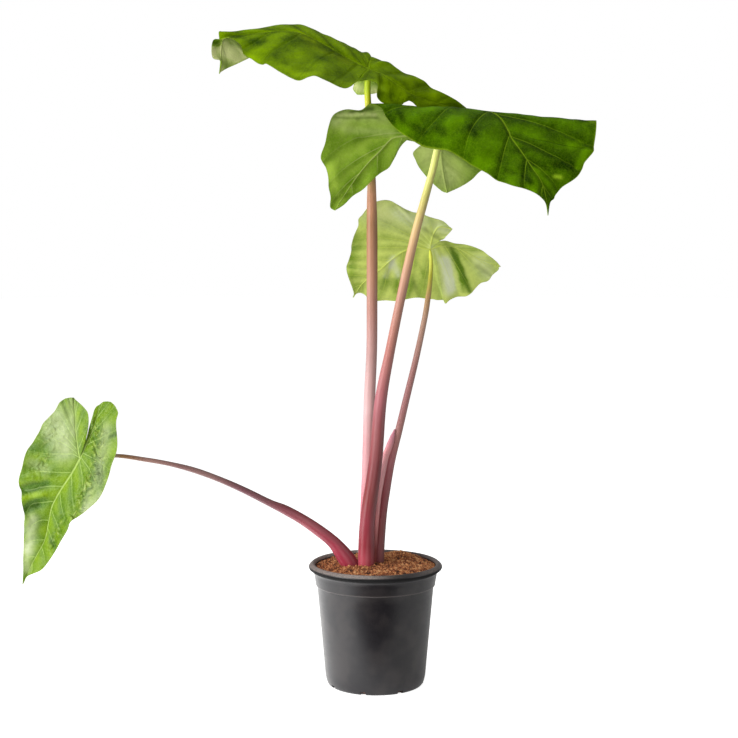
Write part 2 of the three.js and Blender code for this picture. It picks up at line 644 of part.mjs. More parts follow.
// Height of the crumbs above the mounded surface
function crumbs(x, y) {
  const coarse = Math.sin(x * 0.31 + 1.3) * Math.cos(y * 0.27 - 0.4);
  const fine = Math.sin(x * 0.73 - y * 0.41) * Math.cos(y * 0.66 + x * 0.18 + 2.1);
  return SOIL_CRUMB * (0.6 * coarse + 0.7 * fine);
}

// Height of the heap that lies against the back of the lip
function heap(x, y, brim) {
  const turn = (Math.atan2(y, x) - HEAP_ANGLE) / HEAP_SPREAD;
  const out = THREE.MathUtils.smoothstep(Math.hypot(x, y) / brim, 0.45, 0.88);
  return HEAP_RISE * Math.exp(-turn * turn) * out;
}

function makeSoil() {
  const clear = WALL + GAP;
  const profile = [
    [0, FLOOR + GAP],
    [FOOT_RADIUS - 2, FLOOR + GAP],
    [HEEL_RADIUS - clear, HEEL_Z],
    [wallRadius(COLLAR_FOOT_Z - 2, clear), COLLAR_FOOT_Z],
    [COLLAR_FOOT_RADIUS - clear, COLLAR_FOOT_Z + WALL + 1],
    [COLLAR_TOP_RADIUS - clear - 0.3, SOIL_EDGE_Z],
  ];
  const brim = profile[profile.length - 1][0];
  for (let i = 1; i <= SOIL_RINGS; i++) {
    const r = brim * (1 - i / SOIL_RINGS);
    profile.push([r, SOIL_EDGE_Z + SOIL_MOUND * (1 - (r / brim) ** 3)]);
  }
  const lathe = new THREE.LatheGeometry(profile.map(([r, z]) => new THREE.Vector2(r, z)), SOIL_SIDES);
  lathe.rotateX(Math.PI / 2);
  const place = lathe.attributes.position;
  for (let i = 0; i < place.count; i++) {
    const x = place.getX(i);
    const y = place.getY(i);
    const z = place.getZ(i);
    const inside = Math.hypot(x, y) < brim - 1;
    if (z >= SOIL_EDGE_Z) place.setZ(i, z + (inside ? crumbs(x, y) + heap(x, y, brim) : heap(x, y, brim) / 3));
  }
  return toSolid(lathe);
}

// Assembly

const matte = (color, roughness) => new THREE.MeshStandardMaterial({ color, roughness, metalness: 0 });

const plant = new THREE.Group();

function place(name, solid, material) {
  const mesh = new THREE.Mesh(toGeometry(solid), material);
  mesh.name = name;
  plant.add(mesh);
}

const corm = makeCorm(0);
const cormRoom = makeCorm(GAP);

const front = stalk(STALK_FRONT).subtract(cormRoom);
const frontRoom = stalk(STALK_FRONT, GAP);
const slim = stalk(STALK_SLIM).subtract(cormRoom).subtract(frontRoom);
const slimRoom = stalk(STALK_SLIM, GAP);
const back = stalk(STALK_BACK).subtract(cormRoom).subtract(frontRoom).subtract(slimRoom);
const backRoom = stalk(STALK_BACK, GAP);
const low = stalk(STALK_LOW).subtract(cormRoom).subtract(frontRoom).subtract(backRoom);
const lowRoom = stalk(STALK_LOW, GAP);
const sheath = stalk(SHEATH).subtract(cormRoom).subtract(frontRoom).subtract(slimRoom).subtract(backRoom);
const sheathRoom = stalk(SHEATH, GAP);

const soil = [cormRoom, frontRoom, slimRoom, backRoom, lowRoom, sheathRoom].reduce(
  (rest, room) => rest.subtract(room),
  makeSoil(),
);

place("pot", makePot(), matte(0x37373a, 0.42));
place("soil", largestBody(soil), matte(0x8a5a35, 0.95));
place("corm", corm, matte(0x6b4a3a, 0.8));

const leaves = [
  ["low_left", LEAF_LOW, low, 0xa06a6c, 0x7fa63a],
  ["tall_back", LEAF_TALL, back, 0xc39a86, 0x4f7a12],
  ["front", LEAF_FRONT, front, 0xc4707c, 0x457010],
  ["slim_right", LEAF_SLIM, slim, 0x96665f, 0x7d9a3a],
];
for (const [name, leaf, stem, stemColour, bladeColour] of leaves) {
  const room = makeBlade(leaf, GAP);
  place("stalk_" + name, largestBody(stem.subtract(room)), matte(stemColour, 0.5));
  place("leaf_" + name, makeBlade(leaf), matte(bladeColour, 0.38));
}
place("sheath", largestBody(sheath), matte(0x9b5f60, 0.55));

export default plant;
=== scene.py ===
"""Potted imperial red alocasia: the finished pot, soil, corm, leaf stalks, sheath and leaf blades."""

import math

import bpy
import numpy as np
from bpy.props import FloatProperty, FloatVectorProperty, IntProperty, PointerProperty
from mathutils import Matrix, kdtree


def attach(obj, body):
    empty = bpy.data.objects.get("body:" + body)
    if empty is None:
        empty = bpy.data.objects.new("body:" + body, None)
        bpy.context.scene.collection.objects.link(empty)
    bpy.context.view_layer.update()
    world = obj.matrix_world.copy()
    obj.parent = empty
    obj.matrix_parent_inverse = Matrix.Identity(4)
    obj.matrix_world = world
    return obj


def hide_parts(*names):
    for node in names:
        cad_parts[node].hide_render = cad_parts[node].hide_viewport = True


bl_info = {
    "name": "Potted alocasia",
    "version": (1, 0, 0),
    "blender": (4, 5, 0),
    "location": "View3D > Sidebar > Alocasia",
    "description": "Builds the pot, soil, stalks and leaf blades of a potted alocasia",
    "category": "Add Mesh",
}

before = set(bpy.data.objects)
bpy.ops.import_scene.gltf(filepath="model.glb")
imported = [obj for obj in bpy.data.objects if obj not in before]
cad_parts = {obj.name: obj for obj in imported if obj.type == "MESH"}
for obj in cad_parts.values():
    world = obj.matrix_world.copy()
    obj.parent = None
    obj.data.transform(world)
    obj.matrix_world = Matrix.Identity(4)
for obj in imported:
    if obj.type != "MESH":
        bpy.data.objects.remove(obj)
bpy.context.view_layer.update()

MM = 0.001
BODY = "root"
TINY = 1e-6

# Pot, in millimetres
POT_HEIGHT = 192
RIM_RADIUS = 105
RIM_EDGE_Z = 186.2
RIM_FOOT_Z = 177
COLLAR_TOP_RADIUS = 96.8
COLLAR_FOOT_RADIUS = 94
COLLAR_FOOT_Z = 158
WALL_TOP_RADIUS = 91.8
FOOT_RADIUS = 73.4
HEEL_RADIUS = 79.1
HEEL_Z = 15
POT_WALL = 2
POT_FLOOR = 2.4
POT_SEGMENTS = 144
DRAIN_COUNT = 8
DRAIN_SIZE = (12, 9, 10)
DRAIN_FIRST_ANGLE = -1.83

# Soil, in millimetres
SOIL_EDGE_Z = 186.5
SOIL_MOUND = 5
HEAP_RISE = 7
HEAP_ANGLE = 0.98
HEAP_SPREAD = 0.42
SOIL_WAVE = 1.6
SOIL_RADIUS = 94
SOIL_RINGS = 100
SOIL_SEGMENTS = 380
SOIL_SEED = 7
SOIL_SINK = 1
SOIL_CLEARANCE = 0.4
SOIL_FLOOR_GAP = 0.3

# Stalks, in millimetres: each stops short of the blade's surface and tapers inside its rib
STALK_END_GAP = 2.5
STALK_TAPER = 12
STALK_TIP_SHARE = 0.55
STALK_SAMPLES = 1200
STALK_RING_SPACING = 2.5
STALK_SIDES = 36
STALK_RIBS = 9

# Floor, lights and camera, in metres; the camera is tilted down by degrees and its lens is in millimetres
FLOOR_RINGS = (0.0, 0.3, 0.8, 1.6, 3.0, 6.0, 12.0, 25.0)
FLOOR_SEGMENTS = 96
CAMERA_PLACE = (-0.0102, -2.207, 0.6617)
CAMERA_TILT = 4.27
CAMERA_LENS = 69.24
CAMERA_SENSOR = 36
# Each light has its size, its place, the point that it faces and whether glossy surfaces mirror it
LAMPS = {
    "key": ((1.4, 2.1), (-1.95, -1.2, 1.08), (0, 0, 0.6), True),
    "fill": ((1.0, 1.6), (2.1, -0.4, 0.9), (0, 0, 0.5), True),
    "front": ((1.8, 0.9), (-0.5, -1.9, 0.3), (0, 0, 0.68), False),
    "top": ((2.2, 2.2), (-0.2, 0.0, 2.9), (0, 0, 0.5), True),
}

# Leaf blades: rows run along the rib, from 0 at the tip over 18 at the stalk to 36 at a lobe's end
MIDRIB_ROWS = 18
LOBE_ROWS = 18
STEPS_PER_ROW = 7
OUTER_COLUMNS = 34
INNER_COLUMNS = 16
RIPPLE = 1.6
RIPPLE_ROWS = 5
# Between two side veins the blade rises by a share of their spacing, up to a limit
PUFF_SHARE = 0.03
PUFF = 1.3
# Thickness left at the rim, as a share of the blade's
RIM_SHARE = 0.45
# A rib's groove above and its bulge beneath as shares of its half width, and the half width at its end
RIB_GROOVE = 0.25
RIB_BULGE = 0.7
RIB_END = 0.7
LOBE_RIB_END = 0.6
# A lobe's rib starts at this share of the midrib's width
LOBE_RIB_SHARE = 0.85
CURVE_SAMPLES = 600
RIB_SAMPLES = 240
# Slow waves over the whole blade, each with its direction, its height and where it starts
UNEVENNESS = (
    ((0.11, 0.05, 0.07), 0.45, 0.4),
    ((-0.06, 0.13, 0.12), 0.4, 1.9),
    ((0.19, -0.08, -0.15), 0.3, 3.1),
    ((-0.24, -0.17, 0.2), 0.2, 5.0),
)

# Each station of a margin gives a row, the margin point of that row and, where the blade arches over,
# the point halfway across. Veins run from a row on the rib to a row on the margin. Each stroke gives
# a reach, an amount and the places that it runs through, and paints or lifts the blade softly there.
# Many strokes paint light and shade: darker fold bands and shadows, paler sheen and lit places.

LOBE_VEINS = [(23, 22), (28, 27), (32, 32)]

# The low leaf at the left, hanging tip down with its upper side to the front
LEAF_LOW = {
    "rib_width": 2.4,
    "tone": -0.25,
    "contrast": 1,
    "olive": 0,
    "midrib": [
        (-546.5, -41.5, 165.5), (-528.5, -45, 201.5), (-509, -48.5, 236.5), (-502, -48, 267.5),
        (-497, -49, 288), (-487, -52, 307), (-476.5, -55.5, 323), (-463, -59.5, 342.5), (-450, -64, 364.5),
    ],
    "sinus": (-443, -63.5, 389.5),
    "bridge": None,
    "left": {
        "crowding": 1.5,
        "lobe_rib": [
            (-450, -64, 364.5), (-453, -61, 378), (-457, -56.5, 405), (-459, -53.5, 435),
            (-460.5, -53.5, 457.5),
        ],
        "outer": [
            (1, (-544.5, -43.5, 185.5)), (2, (-544, -43.5, 207.5)), (4, (-543, -44.5, 239)),
            (6, (-539, -48.5, 269.5)), (7, (-543, -46.5, 289)), (8, (-545, -45, 311)),
            (9, (-549.5, -43, 324.5)), (10, (-547.5, -42.5, 334.5)), (11, (-542, -44, 350)),
            (13, (-536, -44, 374)), (15, (-525, -45, 389)), (17, (-516, -46, 402.5)),
            (19, (-510.5, -46, 416)), (21, (-501, -47, 425)), (23, (-493, -48, 434)),
            (25, (-485.5, -49, 445)), (27, (-480.5, -50, 451)), (29, (-475.5, -51, 455)),
            (31, (-471, -52.5, 456.5)), (33, (-467.5, -54, 457)), (35, (-462.5, -56.5, 457.5)),
        ],
        "inner": [
            (19, (-438.5, -71.5, 397.5)), (21, (-436, -70, 409.5)), (23, (-435, -68, 422)),
            (25, (-437, -65, 435)), (27, (-441.5, -62.5, 441)), (29, (-446.5, -59.5, 445.5)),
            (32, (-453.5, -56, 451)),
        ],
        "outer_veins": [
            (4, 1.8), (6.5, 3), (9, 4.5), (11.5, 6), (13.8, 7.7), (16, 10), (19.2, 13), (20.5, 17),
            (22.5, 20.5), (25, 24), (28, 28), (31.5, 32),
        ],
        "inner_veins": LOBE_VEINS,
    },
    "right": {
        "crowding": 1.5,
        "lobe_rib": [
            (-450, -64, 364.5), (-438.5, -65, 387.5), (-427.5, -66, 413.5), (-421, -67.5, 433.5),
            (-411, -73.5, 453),
        ],
        "outer": [
            (1, (-538.5, -46, 178)), (2, (-528.5, -50.5, 184)), (3, (-515, -57, 191.5)),
            (4, (-502.5, -62, 205)), (5, (-491.5, -65, 219)), (6, (-483.5, -70.5, 230.5)),
            (8, (-474, -74.5, 249)), (10, (-465.5, -77, 262)), (12, (-459.5, -78.5, 272)),
            (14, (-449.5, -82, 280)), (16, (-435, -87.5, 289.5)), (18, (-419, -93.5, 305.5)),
            (20, (-406, -97.5, 328.5)), (21, (-398.5, -99.5, 345)), (22, (-394, -100.5, 361)),
            (23, (-388.5, -100, 380)), (24, (-388, -98, 400.5)), (25, (-388, -94.5, 412.5)),
            (26, (-387.5, -92, 426)), (27, (-385.5, -91, 437.5)), (28, (-390, -88, 445)),
            (29, (-393, -85.5, 448)), (31, (-397.5, -82.5, 453.5)), (33, (-404.5, -79.5, 454)),
        ],
        "inner": [
            (19, (-439.5, -64, 395.5)), (21, (-436, -64, 406.5)), (23, (-432.5, -64, 419.5)),
            (25, (-429, -66, 431.5)), (27, (-426, -68.5, 440)), (29, (-422.5, -68.5, 445.5)),
            (32, (-416.5, -69, 449)),
        ],
        "outer_veins": [
            (3, 1.5), (5.5, 3.5), (8, 5.5), (10.5, 7.5), (13, 10), (15.8, 12.8), (17.9, 15.7), (20, 18.7),
            (22, 21.5), (25, 25), (28.5, 28), (32, 31.5),
        ],
        "inner_veins": LOBE_VEINS,
    },
    "strokes": {
        "bloom": [
            (9, 0.7, (-527, -47, 269), (-534, -45, 220)), (13, 0.45, (-405, -83, 413), (-416, -90, 338)),
            (8, 0.5, (-439, -86, 287), (-414, -95, 314)), (8, 0.3, (-528, -45, 357), (-506, -49, 346)),
            (21, 0.62, (-486, -50, 426), (-477, -56, 379)), (9, 0.25, (-439, -85, 292), (-426, -86, 324)),
            (9, 0.3, (-505, -48, 409), (-502, -49, 400)), (7, 0.5, (-540, -44, 225), (-538, -43, 190)),
            (7, 0.15, (-475, -54, 409), (-470, -58, 378)), (6, 0.35, (-463, -55, 452), (-460, -57, 403)),
            (6, 0.2, (-432, -83, 317), (-439, -83, 300)),
        ],
        "tone": [
            (11, -0.7, (-525, -45, 381), (-499, -51, 386)), (7, -1, (-418, -85, 357), (-414, -92, 331)),
            (3, -1, (-400, -89, 401), (-388, -96, 407)), (4, -1, (-495, -59, 241), (-489, -66, 231)),
            (16, 0.4, (-480, -58, 300), (-471, -57, 331)), (10, 0.5, (-507, -48, 251), (-498, -50, 275)),
            (6, -1.2, (-416, -86, 358), (-413, -92, 338)),
            (5, -1.4, (-545, -45, 313), (-525, -46, 319), (-505, -49, 325)),
            (6.5, -1.8, (-539, -47, 284), (-519, -46, 293)), (12, -0.5, (-483, -63, 267), (-464, -64, 320)),
            (6, 0.7, (-462, -54, 448), (-442, -69, 389)), (9, 0.8, (-541, -44, 210), (-531, -49, 183)),
            (4, 0.9, (-542, -46, 302), (-523, -45, 307), (-507, -48, 308)),
            (5, 0.38, (-535, -45, 338), (-520, -47, 341), (-506, -49, 346)),
            (6, 0.5, (-522, -46, 367), (-506, -49, 373)), (6, -0.3, (-514, -47, 300), (-510, -47, 302)),
            (7, 0.3, (-406, -91, 366), (-399, -98, 352)),
        ],
        "swell": [
            (7, 3, (-542, -43, 332), (-500, -51, 341)), (6, -3, (-545, -44, 315), (-501, -50, 324)),
            (6, 2.5, (-542, -46, 300), (-510, -47, 305)), (6, -3.5, (-541, -47, 283), (-518, -46, 290)),
            (9, 2.5, (-534, -48, 262), (-523, -48, 265)),
        ],
        "pucker": [
            (15, 1, (-420, -73, 408), (-413, -89, 351)), (12, 0.8, (-430, -82, 335), (-452, -81, 280)),
            (14, 0.34, (-493, -51, 407), (-513, -48, 345)), (8, 0.57, (-476, -68, 271), (-496, -60, 231)),
        ],
        "crease": [
            (3, 0.5, (-544, -43, 320), (-523, -46, 327)),
            (4, 0.35, (-542, -45, 310), (-523, -46, 315), (-507, -49, 321)),
            (4.5, 0.6, (-542, -47, 284), (-520, -46, 291)), (4, 0.3, (-537, -46, 292), (-523, -46, 298)),
            (3.5, 0.45, (-418, -86, 354), (-414, -92, 333)), (2.5, 0.5, (-400, -89, 401), (-388, -96, 407)),
            (3, 0.45, (-498, -57, 236), (-491, -65, 231)), (5, 0.25, (-538, -44, 350), (-515, -48, 358)),
            (6, 0.2, (-531, -44, 379), (-506, -49, 385)),
        ],
    },
}

# The top leaf, pointing left, its near half drooping to the front and its tip curled under
LEAF_TALL = {
    "rib_width": 3,
    "tone": 0.14,
    "contrast": 0.35,
    "olive": 0.7,
    "midrib": [
        (-247, 66, 960), (-245.5, 72, 979.5), (-245, 76, 998.5), (-240, 74, 1016.5), (-217, 68, 1019.5),
        (-181.5, 56, 1022), (-141.5, 42, 1023), (-113, 34, 1017), (-78.5, 24, 998.5), (-47.5, 14, 979),
        (-11.5, 6, 959.5),
    ],
    "sinus": (35, 24, 960.5),
    "bridge": (12.5, 20, 971.5),
    "left": {
        "crowding": 1.5,
        "lobe_rib": [
            (-11.5, 6, 959.5), (-8.5, 22, 974.5), (-7, 38, 982), (-8.5, 56, 964.5), (-15, 66, 928),
        ],
        "outer": [
            (1, (-243.5, 70, 964)), (2, (-235, 78, 970.5)), (3, (-219.5, 88, 979), (-246, 80, 1021)),
            (4, (-204.5, 98, 988), (-241, 85, 1025)), (5, (-195, 106, 995), (-228, 88, 1025.5)),
            (7, (-170, 120, 1010), (-203, 90, 1030)), (9, (-142, 132, 1016.5), (-170.5, 88, 1034)),
            (11, (-113, 142, 1015), (-137, 82, 1038.5)), (13, (-87, 142, 1002), (-111, 78, 1034.5)),
            (15, (-64, 134, 988), (-80.5, 70, 1020.5)), (17, (-47.5, 118, 970), (-52, 62, 1007)),
            (18, (-41, 106, 960), (-35, 56, 997)), (22, (-36.5, 98, 953), (-26.5, 56, 990.5)),
            (27, (-34, 90, 944), (-19.5, 60, 985.5)), (31, (-33, 82, 932), (-19.5, 64, 962.5)),
            (34, (-25, 74, 928)),
        ],
        "inner": [
            (22, (29, 46, 949.5), (13, 34, 973.5)), (27, (20, 58, 940), (10, 50, 970)),
            (33, (1.5, 66, 930)),
        ],
        "outer_veins": [
            (3, 1.5), (6, 4), (9, 6.5), (12, 9.5), (15, 12.5), (17.6, 15.5), (20, 20), (24, 25), (28, 30),
            (32, 33.5),
        ],
        "inner_veins": LOBE_VEINS,
    },
    "right": {
        "crowding": 1.5,
        "lobe_rib": [
            (-11.5, 6, 959.5), (9.5, -8, 950), (23.5, -14, 940), (38.5, -14, 929.5), (57, -8, 919),
            (87, 6, 909.5), (149, 30, 897),
        ],
        "outer": [
            (1, (-243, 65, 980)), (2, (-256.5, 62, 985.5)), (3, (-257, 66, 1011.5)), (4, (-244, 68, 1016)),
            (5, (-227, 58, 1014.5)), (6, (-211, 44, 1000.5)), (7, (-205.5, 32, 986)),
            (8, (-193, 18, 977.5)), (9, (-175.5, -6, 965.5)), (10, (-165.5, -14, 964.5)),
            (11, (-144.5, -34, 948.5)), (12, (-129.5, -46, 940)), (13, (-116, -56, 934.5)),
            (14, (-100.5, -62, 940)), (15, (-89, -66, 939.5)), (16, (-71, -72, 929)),
            (17, (-48.5, -74, 920.5)), (18, (-37, -66, 925)), (19, (-30.5, -58, 932.5)),
            (20, (-20.5, -52, 934)), (21, (-8.5, -46, 933.5)), (22, (1, -42, 930.5)),
            (23, (2.5, -38, 921.5)), (24, (4, -33, 911)), (25, (11, -28, 904)), (26, (24, -24, 899.5)),
            (27, (37, -21, 900)), (28, (43, -20, 906.5)), (29, (50, -18, 909.5)), (30, (57, -13, 906.5)),
            (31, (68, -6, 897.5)), (33, (99.5, 12, 895.5)),
        ],
        "inner": [
            (22, (52, 20, 953)), (25, (72.5, 18, 944.5)), (28, (89, 18, 931)), (33, (123, 20, 915)),
        ],
        "outer_veins": [
            (3, 2.5), (5.5, 4.5), (8, 6.5), (11, 9), (14.8, 13), (17.1, 16.3), (20, 20.5), (22.5, 24.5),
            (25, 26.5), (29, 29), (32.5, 32),
        ],
        "inner_veins": LOBE_VEINS,
    },
    "strokes": {
        "bloom beneath": [
            (8, 0.8, (-258, 63, 995), (-256, 62, 986)), (20, 0.75, (-246, 75, 1004), (-218, 92, 992)),
            (8, 0.55, (-32, 80, 941), (2, 65, 932)), (11, 0.7, (-237, 82, 999), (-215, 92, 988)),
            (5, -0.8, (-258, 66, 1009), (-250, 72, 1007)), (4.5, -2.5, (-257, 66, 1012), (-248, 72, 1011)),
            (6, 1, (-244, 65, 981), (-244, 70, 964)), (10, 0.5, (-236, 83, 1003), (-218, 92, 992)),
        ],
        "tone": [
            (12, -0.6, (-133, 28, 1011), (-56, 18, 986)), (16, 0.3, (-46, -47, 937), (-70, -54, 941)),
            (9, -0.7, (-232, 73, 1022), (-177, 36, 1003)), (10, -0.5, (-151, -8, 973), (-137, -18, 965)),
            (7, 0.7, (-109, 27, 1010), (-97, 25, 1005)), (6, 1.6, (-4, -44, 933), (16, -20, 927)),
            (8, -0.9, (33, -8, 941), (42, -6, 936)), (8, 0.6, (91, 8, 914), (107, 14, 907)),
            (7, 0.5, (-120, -43, 944), (-87, -57, 945)), (7, 1.2, (-32, 80, 941), (-27, 75, 932)),
            (14, 1.2, (-246, 75, 1004), (-218, 92, 992)), (5, -2, (-257, 66, 1012), (-250, 71, 1011)),
            (6, 1.5, (-244, 65, 981), (-244, 70, 964)), (8, 0.4, (-114, -40, 947), (-95, -64, 941)),
            (10, -0.25, (-177, 32, 999), (-151, -8, 973)),
            (5, 0.3, (-219, 93, 998), (-192, 19, 979), (-173, -2, 970)),
            (6, 0.4, (-143, -24, 958), (-113, -49, 940)),
        ],
        "bloom": [
            (8, 0.3, (-32, 80, 941), (2, 65, 932)), (5, 0.35, (0, -42, 931), (11, -23, 926)),
        ],
        "crease": [
            (4.5, 0.6, (-258, 66, 1009), (-250, 72, 1007)),
            (5, 0.35, (-234, 73, 1021), (-216, 68, 1021), (-196, 62, 1022), (-178, 56, 1023)),
            (4, 0.25, (-71, 14, 988), (-59, 10, 981), (-46, 6, 973)),
            (3, 0.2, (-231, 89, 1010), (-205, 46, 1003), (-186, 42, 1005), (-168, 35, 1006)),
            (3, 0.16, (-192, 27, 986), (-175, 13, 983), (-159, 1, 980), (-144, -3, 978), (-128, -8, 976)),
            (3, 0.2, (-116, 10, 993), (-101, 4, 985), (-87, -7, 976), (-72, -18, 966), (-58, -22, 958)),
        ],
        "olive": [
            (10, 0.4, (-118, 28, 1011), (-48, 2, 970)),
        ],
    },
}

